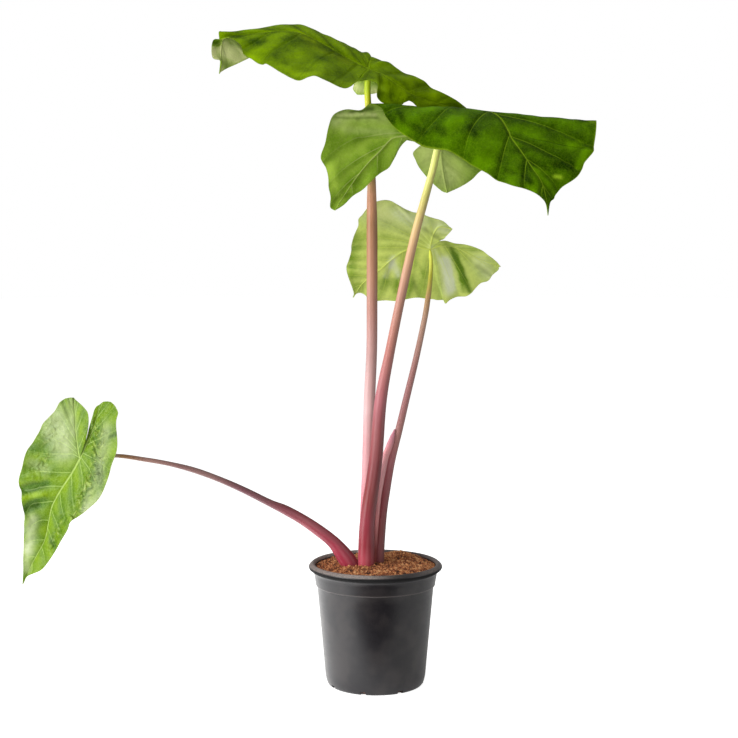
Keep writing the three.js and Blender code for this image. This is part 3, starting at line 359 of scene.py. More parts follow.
# The large right leaf, arched like a tent, its blade down the front and its lobes down the back
LEAF_FRONT = {
    "rib_width": 3.4,
    "tone": -0.4,
    "contrast": 1.25,
    "olive": 0.1,
    "midrib": [
        (248, -150, 730), (246.5, -146, 748), (240.5, -134, 777.5), (227.5, -122, 800), (211.5, -106, 827),
        (199.5, -92, 846), (195.5, -84, 858), (185, -68, 877.5), (170, -52, 888.5), (140, -30, 892.5),
        (106, -10, 881.5),
    ],
    "sinus": (84, 0, 852),
    "bridge": None,
    "left": {
        "crowding": 2,
        "lobe_rib": [
            (106, -10, 881.5), (77, -12, 868), (49.5, -14, 856.5), (29.5, -15, 854), (19, -16, 846.5),
            (6.5, -17, 832.5), (-11.5, -18, 814.5), (-30, -20, 791.5), (-48.5, -22, 764),
            (-62.5, -24, 741.5),
        ],
        "outer": [
            (1, (244.5, -148, 746.5)), (2, (237, -148, 756)), (4, (223.5, -147, 766.5)),
            (6, (202, -145, 770.5)), (8, (180, -138, 780)), (10, (162, -130, 791), (174.5, -109, 828.5)),
            (12, (141.5, -122, 802.5), (156, -99, 849.5)), (14, (123, -110, 816.5), (136.5, -84, 870)),
            (16, (107.5, -102, 825), (119.5, -68, 884)), (17, (94.5, -96, 827.5), (109.5, -60, 889.5)),
            (18, (80, -90, 831), (98, -54, 891.5)), (19, (64.5, -84, 837), (81.5, -50, 892.5)),
            (20, (49.5, -76, 847), (62, -46, 894.5)), (21, (33, -64, 859.5), (44, -42, 897.5)),
            (22, (19, -54, 876), (29, -36, 900)), (23, (7, -44, 897.5), (18.5, -30, 900)),
            (24, (-8, -42, 903.5), (11, -27, 893.5)), (25, (-23, -40, 891.5), (3.5, -25, 883)),
            (26, (-45, -38, 892.5), (-8.5, -25, 875.5)), (27, (-63.5, -38, 885), (-21, -25, 868)),
            (28, (-72, -37, 866), (-28.5, -25, 854.5)), (29, (-77, -36, 843)), (30, (-83.5, -34, 821.5)),
            (31, (-75.5, -32, 806)), (32, (-72, -31, 791)), (33, (-71.5, -30, 776)), (34, (-69, -28, 762)),
            (35, (-69.5, -26, 747)),
        ],
        "inner": [
            (20, (68, -4, 846.5)), (22, (54.5, -7, 848.5)), (24, (39, -9, 850)), (26, (33, -10, 839)),
            (28, (30.5, -11, 827)), (29, (26.5, -12, 817.5)), (30, (20, -13, 807)), (31, (8, -14, 799.5)),
            (32, (-2.5, -16, 791)), (33, (-19.5, -18, 774)), (34, (-35, -20, 764)),
            (35, (-48.5, -23, 750.5)),
        ],
        "outer_veins": [
            (3, 2), (6, 5), (9.2, 8.4), (13, 13.5), (15.5, 19.2), (19, 22.5), (22, 26), (26.5, 30.4),
            (30, 32.6), (33, 34.6),
        ],
        "inner_veins": [(24, 23.5), (28, 28), (31, 31.5), (34, 34)],
    },
    "right": {
        "crowding": 1.5,
        "lobe_rib": [
            (106, -10, 881.5), (104, 6, 859), (101.5, 14, 836.5), (103.5, 18, 813.5), (106.5, 20, 794),
            (111.5, 20, 770.5),
        ],
        "outer": [
            (1, (251.5, -142, 748.5)), (2, (257.5, -136, 754)), (3, (260.5, -132, 759)),
            (4, (265.5, -127, 765.5)), (5, (273.5, -121, 773.5)), (6, (293, -110, 785.5)),
            (7, (303, -102, 798.5)), (8, (309, -95, 811)), (9, (323, -82, 826.5)),
            (10, (324.5, -76, 834.5), (260.5, -82, 840.5)), (11, (329, -62, 854), (261.5, -69, 860.5)),
            (12, (332, -48, 872.5), (261, -57, 875)), (13, (332, -36, 875.5), (255, -46, 881)),
            (14, (318.5, -14, 872), (235, -32, 879)), (15, (306, 2, 861.5), (215, -20, 881)),
            (16, (289, 14, 852), (199, -10, 883.5)), (17, (274.5, 22, 845), (190.5, -2, 888.5)),
            (18, (261.5, 28, 839), (181, 5, 887)), (21, (232.5, 36, 829), (162, 18, 874)),
            (25, (198.5, 38, 820), (141, 24, 851)), (29, (167, 34, 807)), (32, (152, 32, 793)),
            (34, (131.5, 28, 780)),
        ],
        "inner": [
            (21, (74, 8, 843.5)), (24, (58.5, 10, 833)), (26, (62, 13, 821)), (28, (69, 16, 808)),
            (31, (85.5, 19, 789)), (34, (102.5, 20, 774)),
        ],
        "outer_veins": [
            (3, 1.8), (6, 4.2), (9, 6.7), (12.2, 10), (14.5, 12.5), (17.5, 16), (20, 20), (24, 24.5),
            (28, 30), (30.8, 33.5),
        ],
        "inner_veins": LOBE_VEINS,
    },
    "strokes": {
        "tone": [
            (5, -0.6, (38, -56, 884), (43, -64, 871)), (6, -0.7, (53, -68, 867), (72, -78, 855)),
            (6, -0.6, (134, -86, 868), (145, -99, 850)), (5, -0.8, (215, -133, 787), (225, -138, 778)),
            (6, -0.8, (263, -108, 804), (286, -103, 803)), (14, 0.45, (152, -121, 809), (187, -130, 791)),
            (5, 0.22, (313, -54, 869), (315, -67, 850), (317, -82, 828)),
            (4, 0.3, (28, -48, 893), (26, -52, 887)), (30, 0.8, (76, 12, 831), (123, 24, 801)),
            (20, 0.3, (-40, -27, 834), (13, -20, 868)), (7, -0.9, (91, -79, 861), (101, -86, 853)),
            (7, 0.6, (128, -81, 873), (134, -86, 868)), (7, -0.9, (206, -107, 825), (216, -105, 826)),
            (6, -0.6, (190, -127, 795), (198, -130, 791)), (6, 0.8, (232, -121, 799), (245, -120, 793)),
            (5, 0.6, (220, -145, 771), (229, -146, 765)), (8, 0.4, (170, -119, 812), (180, -106, 832)),
            (8, 0.9, (290, -81, 835), (304, -76, 839)), (7, -0.9, (-65, -36, 877), (23, -57, 871)),
            (4, -1.8, (-35, -35, 889), (-22, -38, 891)), (4, -1.8, (-14, -35, 894), (-8, -32, 894)),
            (7, 1.3, (-68, -31, 806), (-64, -28, 781)), (8, 0.7, (-60, -26, 773), (-54, -23, 758)),
            (8, 0.7, (-21, -23, 833), (-13, -20, 823)), (8, 0.8, (125, 22, 823), (133, 27, 799)),
            (6, -0.4, (111, 21, 787), (117, 23, 785)), (6, 1.1, (295, -102, 801), (312, -83, 828)),
            (6, -1, (-62, -38, 887), (-45, -37, 890)), (5, 0.6, (-49, -24, 781), (-41, -21, 774)),
        ],
        "bloom": [
            (4, 0.3, (323, -45, 875), (327, -49, 873)), (3.6, 0.9, (262, -118, 787), (269, -116, 786)),
        ],
        "bloom beneath": [
            (14, 0.21, (-55, -38, 890), (14, -23, 883)), (30, 0.45, (75, 10, 838), (114, 22, 800)),
            (9, 0.24, (-62, -35, 873), (25, -56, 880)),
            (3, 0.18, (-56, -36, 885), (-37, -33, 886), (-19, -32, 886), (-2, -27, 886), (17, -52, 882)),
            (6, 0.17, (-47, -30, 864), (24, -17, 860)),
        ],
        "swell": [
            (4.5, 1.4, (-48, -36, 887), (-31, -34, 888), (-14, -32, 888), (0, -27, 887), (20, -53, 881)),
            (4.5, -1.4, (-49, -33, 879), (-31, -29, 879), (-16, -27, 878), (1, -24, 877), (17, -21, 877)),
        ],
        "crease": [
            (4, 0.1, (214, -135, 784), (225, -137, 780)), (4, 0.35, (138, -91, 862), (145, -97, 853)),
            (4, 0.35, (33, -55, 885), (41, -62, 874)),
            (4, 0.25, (-49, -30, 846), (-35, -28, 847), (-21, -25, 850), (-8, -21, 856)),
            (4, 0.3, (-59, -25, 760), (-41, -21, 766)),
            (
                2.2, 0.5,
                (-63, -37, 882), (-48, -33, 881), (-30, -30, 881),
                (-13, -28, 882), (3, -25, 882), (21, -55, 875),
            ),
            (3.6, 0.8, (-38, -35, 889), (-21, -37, 890)), (3.2, 0.7, (-15, -36, 894), (-6, -32, 895)),
            (5, 0.5, (-60, -38, 888), (-40, -38, 893)), (5, 0.12, (-63, -30, 822), (-47, -28, 835)),
        ],
    },
}

# The middle leaf at the back, leaning forward so that its underside faces the front
LEAF_SLIM = {
    "rib_width": 2.2,
    "tone": 0.42,
    "contrast": 1,
    "olive": 0,
    "midrib": [
        (-36.5, 135.5, 605), (-21.5, 122.5, 627.5), (4.5, 109.5, 648.5), (27, 98, 668), (46, 90, 681),
        (64, 86, 687.5), (88, 88, 684),
    ],
    "sinus": (101.5, 80.5, 696),
    "bridge": None,
    "left": {
        "crowding": 1.5,
        "lobe_rib": [
            (88, 88, 684), (109, 88, 690.5), (128.5, 93, 687.5), (147, 99, 679.5), (170, 106, 668),
            (204, 109, 656),
        ],
        "outer": [
            (1, (-30.5, 139, 611)), (2, (-22, 137, 611.5)), (3, (-14.5, 140, 608.5)),
            (4, (-7, 142.5, 603)), (5, (3, 145, 599.5)), (7, (21, 145.5, 599)), (9, (38, 144.5, 600)),
            (11, (56, 142.5, 602)), (13, (74, 142, 604.5)), (15, (92.5, 143, 602.5)),
            (16, (102.5, 144.5, 600)), (17, (112.5, 146.5, 600.5)), (18, (117, 149, 595.5)),
            (19, (123, 145, 601)), (20, (133.5, 143, 605)), (21, (141.5, 142, 605.5)),
            (22, (150, 140.5, 606.5)), (23, (157.5, 137.5, 612)), (24, (162, 134.5, 617.5)),
            (25, (166, 131.5, 621.5)), (26, (173.5, 128.5, 627.5)), (27, (185, 126, 631.5)),
            (29, (191.5, 119.5, 642.5)), (31, (198, 116.5, 647)), (33, (200.5, 115.5, 650.5)),
            (35, (202, 113, 655.5)),
        ],
        "inner": [
            (19, (113.5, 84, 697)), (21, (128, 85.5, 693.5)), (24, (149, 88, 690.5)),
            (27, (169, 91.5, 683.5)), (31, (185.5, 98, 672.5)), (34, (196.5, 103.5, 664)),
        ],
        "outer_veins": [
            (3, 1.5), (6, 3), (9.7, 5), (13, 8), (15.5, 10.5), (18, 13), (20, 17), (21.5, 20), (24, 23.5),
            (27, 27), (31, 31),
        ],
        "inner_veins": LOBE_VEINS,
    },
    "right": {
        "crowding": 1.5,
        "lobe_rib": [
            (88, 88, 684), (90, 78, 697), (93.5, 68.5, 709.5), (102.5, 60.5, 719), (122.5, 60.5, 715.5),
        ],
        "outer": [
            (1, (-34.5, 127, 613)), (3, (-40.5, 118, 629)), (5, (-46, 107.5, 646)), (7, (-46.5, 101, 656)),
            (9, (-43, 94.5, 667)), (11, (-39, 87, 679)), (13, (-38.5, 80, 691)), (15, (-35, 72, 703.5)),
            (17, (-27.5, 61.5, 720)), (18, (-27, 54.5, 731.5)), (19, (-20.5, 48.5, 739)),
            (20, (-14, 43.5, 747)), (21, (-2.5, 38.5, 756)), (22, (13.5, 36, 759.5)),
            (23, (26, 37.5, 758.5)), (24, (37, 41, 752.5)), (25, (48.5, 45, 746)), (26, (59, 47, 741.5)),
            (27, (72, 49.5, 739.5)), (28, (84.5, 52, 735.5)), (29, (94, 53.5, 732.5)),
            (30, (103, 55.5, 729.5)), (32, (112.5, 58.5, 724)), (34, (118.5, 61.5, 719)),
        ],
        "inner": [
            (20, (107, 73.5, 699.5)), (25, (113, 71, 704)), (31, (119.5, 66.5, 711)),
        ],
        "outer_veins": [
            (3, 2), (5.5, 4.5), (8, 7), (10.5, 9.5), (14.5, 12), (18.5, 14.5), (20.5, 19), (22.5, 22),
            (25, 25), (28, 28), (32, 32),
        ],
        "inner_veins": LOBE_VEINS,
    },
    "strokes": {
        "bloom beneath": [
            (12, 0.5, (104, 60, 719), (112, 65, 714)), (14, 0.45, (170, 107, 666), (184, 118, 644)),
            (6, 0.7, (27, 100, 665), (38, 115, 643)), (26, 0.35, (0, 46, 744), (70, 56, 729)),
            (9, 0.95, (112, 102, 666), (122, 135, 616)),
            (4.5, 0.45, (17, 116, 640), (24, 106, 656), (29, 96, 672)),
            (5, 0.45, (117, 103, 666), (121, 112, 650), (125, 123, 634), (128, 133, 619)),
            (6, 0.4, (89, 85, 688), (106, 102, 666)), (6, 0.5, (117, 107, 659), (124, 131, 623)),
            (10, 0.3, (36, 50, 740), (70, 58, 726)), (9, -0.5, (-32, 67, 711), (-41, 114, 636)),
        ],
        "tone": [
            (22, -0.5, (0, 130, 620), (73, 126, 628)), (9, -0.4, (86, 56, 729), (113, 61, 716)),
            (13, -0.55, (-27, 60, 722), (-40, 119, 628)), (14, -0.45, (15, 121, 633), (61, 131, 620)),
            (12, -0.3, (74, 107, 656), (78, 114, 646)),
            (4.5, -1.2, (123, 93, 686), (130, 102, 669), (140, 113, 652), (147, 124, 634), (155, 135, 616)),
            (4.5, -1.1, (131, 99, 675), (137, 111, 655), (141, 123, 635), (145, 135, 615)),
            (10, 0.5, (112, 102, 666), (122, 135, 616)), (12, -0.2, (147, 88, 691), (199, 105, 662)),
            (8, -0.25, (-36, 74, 700), (-38, 112, 640)), (6, -0.35, (71, 105, 658), (78, 114, 646)),
        ],
        "crease": [
            (3.5, 0.55, (103, 75, 699), (123, 93, 686)),
            (3.6, 0.42, (123, 93, 686), (130, 102, 669), (140, 113, 652), (147, 124, 634), (155, 135, 616)),
            (4, 0.45, (78, 64, 716), (89, 70, 709), (100, 74, 701)), (3, 0.45, (32, 39, 756), (52, 47, 743)),
            (5, 0.45, (168, 112, 656), (187, 119, 643)), (4.5, 0.4, (63, 124, 631), (72, 140, 607)),
            (5, 0.25, (-31, 66, 713), (-37, 75, 698), (-39, 85, 683), (-42, 96, 665)),
            (3.5, 0.35, (9, 130, 620), (16, 119, 635), (21, 109, 651), (27, 100, 665)),
        ],
    },
}

# Leaf stalks from base to top: places with the radius there, and colours at shares of the length

# Bends out to the left from a thick base
STALK_LOW = {
    "route": [
        (-30.5, -6, 167, 12.5), (-40, -8, 189.5, 14), (-50, -10, 205.5, 13), (-66.5, -12, 226.5, 9.5),
        (-89, -16, 245.5, 9), (-114, -20, 263.5, 8), (-141, -24, 279.5, 7.5), (-163.5, -28, 290.5, 5.5),
        (-205, -36, 313, 5), (-241.5, -43, 330.5, 4.5), (-277.5, -50, 345, 4.5), (-313.5, -56, 355.5, 3.5),
        (-350.5, -61, 363, 3.5), (-397, -65, 369.5, 3), (-450, -64, 364.5, 2.5),
    ],
    "colours": [
        (0.092, (161, 51, 71)), (0.177, (163, 61, 77)), (0.249, (160, 79, 88)), (0.33, (138, 68, 77)),
        (0.411, (126, 82, 87)), (0.482, (120, 72, 81)), (0.591, (144, 109, 105)), (0.695, (135, 98, 95)),
        (0.799, (156, 114, 102)), (0.876, (161, 113, 63)), (0.938, (247, 247, 247)),
    ],
}

# Stands upright behind the others
STALK_BACK = {
    "route": [
        (-17, 22, 161, 9), (-16, 20, 245, 9), (-12.5, 18, 334.5, 9), (-9.5, 16, 446, 9),
        (-6, 15, 525, 8.5), (-5.5, 14, 603.5, 8.5), (-5.5, 13, 712, 8.5), (-6, 12, 758.5, 7.5),
        (-6.5, 12, 805, 6), (-11, 12, 897, 5), (-12.5, 10, 927.5, 5), (-11.5, 6, 959.5, 4.5),
    ],
    "colours": [
        (0.041, (200, 92, 106)), (0.098, (206, 106, 120)), (0.154, (214, 130, 140)),
        (0.209, (222, 158, 162)), (0.272, (211, 153, 155)), (0.338, (220, 180, 178)),
        (0.423, (197, 157, 152)), (0.518, (185, 133, 122)), (0.594, (183, 130, 102)),
        (0.705, (165, 116, 78)), (0.761, (219, 157, 118)), (0.845, (205, 190, 84)),
        (0.945, (230, 229, 25)), (0.964, (208, 230, 7)),
    ],
}

# The thickest, in front, leaning to the right
STALK_FRONT = {
    "route": [
        (-14.5, -10, 168, 13.5), (-14.5, -10, 212.5, 13), (-12, -10, 268, 11.5), (0, -12, 355, 10.5),
        (8, -14, 449, 9.5), (22.5, -16, 527, 7.5), (36.5, -18, 596.5, 7), (48, -20, 650.5, 7),
        (62, -22, 711.5, 6.5), (74.5, -22, 757, 6), (87, -20, 803, 5.5), (94, -16, 833.5, 5.5),
        (106, -10, 881.5, 5),
    ],
    "colours": [
        (0.045, (170, 63, 77)), (0.073, (144, 33, 48)), (0.128, (147, 46, 60)), (0.174, (131, 43, 44)),
        (0.248, (134, 52, 57)), (0.316, (150, 73, 75)), (0.389, (178, 102, 108)), (0.511, (183, 115, 101)),
        (0.618, (193, 139, 117)), (0.708, (208, 162, 122)), (0.758, (221, 183, 125)),
        (0.832, (211, 203, 108)), (0.902, (246, 247, 139)), (0.932, (242, 246, 140)),
    ],
}

# The thinnest, at the right, bending back at the top
STALK_SLIM = {
    "route": [
        (6, 10, 163.5, 8), (6, 10, 203.5, 8), (10.5, 14, 263.5, 7.5), (16.5, 19, 303, 7),
        (25, 24, 350, 6.5), (37, 30, 397, 6), (48.5, 36, 444.5, 5.5), (64, 44, 507.5, 5),
        (78, 56, 570.5, 4.5), (83.5, 64, 602, 4.5), (88, 72, 634, 3.5), (89.5, 78, 662.5, 3),
        (88, 88, 684, 2.5),
    ],
    "colours": [
        (0.091, (131, 65, 69)), (0.144, (132, 59, 59)), (0.209, (142, 62, 69)), (0.278, (160, 91, 95)),
        (0.352, (184, 114, 119)), (0.428, (189, 133, 126)), (0.507, (186, 127, 126)),
        (0.638, (180, 126, 119)), (0.779, (193, 152, 128)), (0.85, (191, 149, 98)),
        (0.917, (187, 183, 33)), (0.977, (242, 247, 87)),
    ],
}

# A pointed sheath that hugs the slim stalk
SHEATH = {
    "route": [
        (-2.5, 6, 164.5, 5.5), (-2, 6, 217, 5.5), (1.5, 8, 264.5, 5), (4.5, 9, 296.5, 5),
        (8.5, 10, 320, 5), (15, 14, 354.5, 5.5), (20.5, 18, 369.5, 5.5), (25, 21, 382, 5),
        (29, 24, 394.5, 2.5), (31.5, 25, 402, 0.5),
    ],
    "colours": [
        (0.188, (137, 29, 26)), (0.384, (234, 148, 150)), (0.581, (247, 178, 181)),
        (0.712, (247, 183, 187)), (0.846, (247, 167, 170)), (0.943, (224, 147, 163)),
    ],
}


def srgb(red, green, blue):
    """A display colour from 0 to 255 as the linear colour that shaders take."""
    values = [c / 255 for c in (red, green, blue)]
    return tuple(c / 12.92 if c <= 0.04045 else ((c + 0.055) / 1.055) ** 2.4 for c in values)


# Curves and surfaces, in millimetres


def catmull(points, knots):
    """Points on a smooth curve through points, at fractional knot numbers."""
    points = np.asarray(points, float)
    knots = np.asarray(knots, float)
    padded = np.vstack([2 * points[0] - points[1], points, 2 * points[-1] - points[-2]])
    start = np.clip(np.floor(knots).astype(int), 0, len(points) - 2)
    t = (knots - start)[..., None]
    a, b, c, d = (padded[start + k] for k in range(4))
    curve = (3 * b - a - 3 * c + d) * t**3 + (2 * a - 5 * b + 4 * c - d) * t**2 + (c - a) * t + 2 * b
    return curve / 2


def along_curve(points, fractions):
    """Points at fractions of a smooth curve's length."""
    fine = catmull(points, np.linspace(0, len(points) - 1, CURVE_SAMPLES))
    lengths = np.concatenate([[0], np.cumsum(np.linalg.norm(np.diff(fine, axis=0), axis=1))])
    wanted = np.asarray(fractions) * lengths[-1]
    return np.stack([np.interp(wanted, lengths, fine[:, k]) for k in range(3)], -1)


def rib_points(leaf, side, rows):
    """The rib at each row: the midrib from the tip to the stalk, then the side's lobe rib."""
    rows = np.asarray(rows, float)
    midrib = along_curve(leaf["midrib"], np.clip(rows / MIDRIB_ROWS, 0, 1))
    share = np.clip((rows - MIDRIB_ROWS) / LOBE_ROWS, 0, 1) ** side["crowding"]
    lobe = along_curve(side["lobe_rib"], share)
    return np.where((rows <= MIDRIB_ROWS)[..., None], midrib, lobe)


def blade_grid(leaf, side, inner, rows, across):
    """Points of one quarter of a blade, one line of points for each row."""
    tip = leaf["midrib"][0]
    lobe_end = side["lobe_rib"][-1]
    first = (MIDRIB_ROWS, leaf["sinus"], leaf["bridge"]) if inner else (0, tip, tip)
    stations = [first, *side["inner" if inner else "outer"], (MIDRIB_ROWS + LOBE_ROWS, lobe_end, lobe_end)]
    station_rows = [s[0] for s in stations]
    edge = np.array([s[1] for s in stations], float)
    ribs = rib_points(leaf, side, station_rows)
    middle = np.array(
        [s[2] if len(s) > 2 and s[2] else (ribs[i] + edge[i]) / 2 for i, s in enumerate(stations)]
    )
    knots = np.interp(rows, station_rows, range(len(stations)))
    rib = rib_points(leaf, side, rows)[:, None]
    edge = catmull(edge, knots)[:, None]
    middle = catmull(middle, knots)[:, None]
    v = across[None, :, None]
    return rib * (1 - v) * (1 - 2 * v) + middle * 4 * v * (1 - v) + edge * v * (2 * v - 1)


def vein_phase(veins, rows, across):
    """A number that is whole on each side vein and runs smoothly from one vein to the next."""
    starts = np.array([rows[0] - 1.5, *[v[0] for v in veins], rows[-1] + 1.5])
    ends = np.array([rows[0] - 1.5, *[v[1] for v in veins], rows[-1] + 1.5])
    numbers = np.array([-0.5, *range(len(veins)), len(veins) - 0.5])
    columns = [np.interp(rows, starts + (ends - starts) * v, numbers) for v in across]
    return np.stack(columns, -1)


def phase_reach(points, phase):
    """Distance over the surface in which the phase grows by one."""
    by_row, by_column = np.gradient(points, axis=(0, 1))
    phase_row, phase_column = np.gradient(phase, axis=(0, 1))
    e = (by_row**2).sum(-1)
    f = (by_row * by_column).sum(-1)
    g = (by_column**2).sum(-1)
    area = np.maximum(e * g - f * f, TINY)
    slope = (g * phase_row**2 - 2 * f * phase_row * phase_column + e * phase_column**2) / area
    return 1 / np.sqrt(np.maximum(slope, 1e-5))


def patch_faces(count_rows, count_columns, base, flip):
    """Quads of a grid of points."""
    index = base + np.arange(count_rows * count_columns).reshape(count_rows, count_columns)
    quads = np.stack([index[:-1, :-1], index[:-1, 1:], index[1:, 1:], index[1:, :-1]], -1).reshape(-1, 4)
    return quads[:, ::-1] if flip else quads


def blade_sheet(leaf):
    """The middle surface of a blade with its values at each point, its faces and its open edges."""
    steps = STEPS_PER_ROW
    fields = {name: [] for name in ("point", "row", "across", "inner", "phase", "reach")}
    faces = []
    base = 0
    for name, flip in (("left", False), ("right", True)):
        side = leaf[name]
        for inner in (False, True):
            first = MIDRIB_ROWS if inner else 0
            rows = np.linspace(first, MIDRIB_ROWS + LOBE_ROWS, (MIDRIB_ROWS + LOBE_ROWS - first) * steps + 1)
            across = np.linspace(0, 1, INNER_COLUMNS if inner else OUTER_COLUMNS)
            points = blade_grid(leaf, side, inner, rows, across)
            phase = vein_phase(side["inner_veins" if inner else "outer_veins"], rows, across)
            row_field, across_field = np.meshgrid(rows, across, indexing="ij")
            values = {
                "point": points,
                "row": row_field,
                "across": across_field,
                "inner": np.full_like(row_field, float(inner)),
                "phase": phase,
                "reach": phase_reach(points, phase),
            }
            for key, value in values.items():
                fields[key].append(value.reshape(-1, 3) if key == "point" else value.ravel())
            faces.append(patch_faces(len(rows), len(across), base, flip == inner))
            base += row_field.size
    fields = {key: np.concatenate(value) for key, value in fields.items()}
    return weld(fields, np.concatenate(faces))


def painted(leaf, kind, points):
    """Sum of soft strokes at each point, or the strongest for creases.

    A stroke has a reach, an amount and the places that it runs through.
    """
    total = np.zeros(len(points))
    for reach, amount, *path in leaf["strokes"].get(kind, ()):
        for start, end in zip(path, path[1:]):
            start = np.array(start, float)
            run = np.array(end, float) - start
            share = np.clip((points - start) @ run / max(run @ run, TINY), 0, 1)
            distance = np.linalg.norm(points - start - share[:, None] * run, axis=1)
            strength = amount * np.exp(-((distance / reach) ** 2))
            total = np.maximum(total, strength) if kind == "crease" else total + strength
    return total


def weld(fields, quads):
    """Joins points that share a place and drops the faces that this closes."""
    keys = np.round(fields["point"], 3)
    _, first, index = np.unique(keys, axis=0, return_index=True, return_inverse=True)
    quads = index.reshape(-1)[quads]
    faces = []
    for quad in quads.tolist():
        corners = [c for i, c in enumerate(quad) if c != quad[i - 1]]
        if len(corners) > 2 and len(set(corners)) == len(corners):
            faces.append(corners)
    return {key: value[first] for key, value in fields.items()}, faces


def point_normals(points, faces):
    """Area-weighted normals of a sheet."""
    halves = [[f[:3]] if len(f) == 3 else [f[:3], [f[0], f[2], f[3]]] for f in faces]
    triangles = np.array([triangle for half in halves for triangle in half])
    a, b, c = (points[triangles[:, k]] for k in range(3))
    crossed = np.cross(b - a, c - a)
    normals = np.zeros_like(points)
    for k in range(3):
        np.add.at(normals, triangles[:, k], crossed)
    return normals / np.maximum(np.linalg.norm(normals, axis=1, keepdims=True), 1e-9)


def open_edges(faces):
    """Directed edges that only one face has."""
    edges = {(a, b) for f in faces for a, b in zip(f, [*f[1:], f[0]])}
    return [(a, b) for a, b in edges if (b, a) not in edges]


def rib_distance(leaf, points):
    """Distance of each point to the nearest main rib, and that rib's half width there."""
    samples = []
    widths = []
    shares = np.linspace(0, 1, RIB_SAMPLES)
    for path, thick, thin in (
        (leaf["midrib"][::-1], leaf["rib_width"], RIB_END),
        (leaf["left"]["lobe_rib"], leaf["rib_width"] * LOBE_RIB_SHARE, LOBE_RIB_END),
        (leaf["right"]["lobe_rib"], leaf["rib_width"] * LOBE_RIB_SHARE, LOBE_RIB_END),
    ):
        samples.append(along_curve(path, shares))
        widths.append(thick + (thin - thick) * shares**0.7)
    samples = np.concatenate(samples)
    widths = np.concatenate(widths)
    tree = kdtree.KDTree(len(samples))
    for i, sample in enumerate(samples):
        tree.insert(sample, i)
    tree.balance()
    found = [tree.find(p) for p in points]
    return np.array([f[2] for f in found]), widths[[f[1] for f in found]]


# Meshes


def make_piece(name, points, faces, node=None, slot=None, values=None, sharp=None):
    """A mesh in metres from points in millimetres, riding on the body that holds it."""
    mesh = bpy.data.meshes.new(name)
    mesh.from_pydata((np.asarray(points) * MM).tolist(), [], faces)
    for key, value in (values or {}).items():
        value = np.asarray(value, np.float32)
        kind, field = ("FLOAT_VECTOR", "vector") if value.ndim > 1 else ("FLOAT", "value")
        mesh.attributes.new(key, kind, "POINT").data.foreach_set(field, value.ravel())
    mesh.validate()
    mesh.shade_smooth()
    if sharp:
        mesh.set_sharp_from_angle(angle=sharp)
    piece = bpy.data.objects.new(name, mesh)
    bpy.context.scene.collection.objects.link(piece)
    if node or slot:
        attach(piece, BODY)
    if node:
        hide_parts(node)
    return piece


def ring(radius, height, segments):
    """Points of a level circle round the Z axis."""
    angles = [2 * math.pi * s / segments for s in range(segments)]
    return [(radius * math.cos(angle), radius * math.sin(angle), height) for angle in angles]


def lathe(profile, segments):
    """Points and faces of a profile of radius and height turned round the Z axis."""
    points = []
    rings = []
    for radius, height in profile:
        if radius == 0:
            rings.append([len(points)] * segments)
            points.append((0, 0, height))
            continue
        rings.append(list(range(len(points), len(points) + segments)))
        points += ring(radius, height, segments)
    faces = []
    for low, high in zip(rings, rings[1:]):
        for s in range(segments):
            t = (s + 1) % segments
            corners = list(dict.fromkeys([low[s], low[t], high[t], high[s]]))
            if len(corners) > 2:
                faces.append(corners)
    return points, faces


# Shader helpers


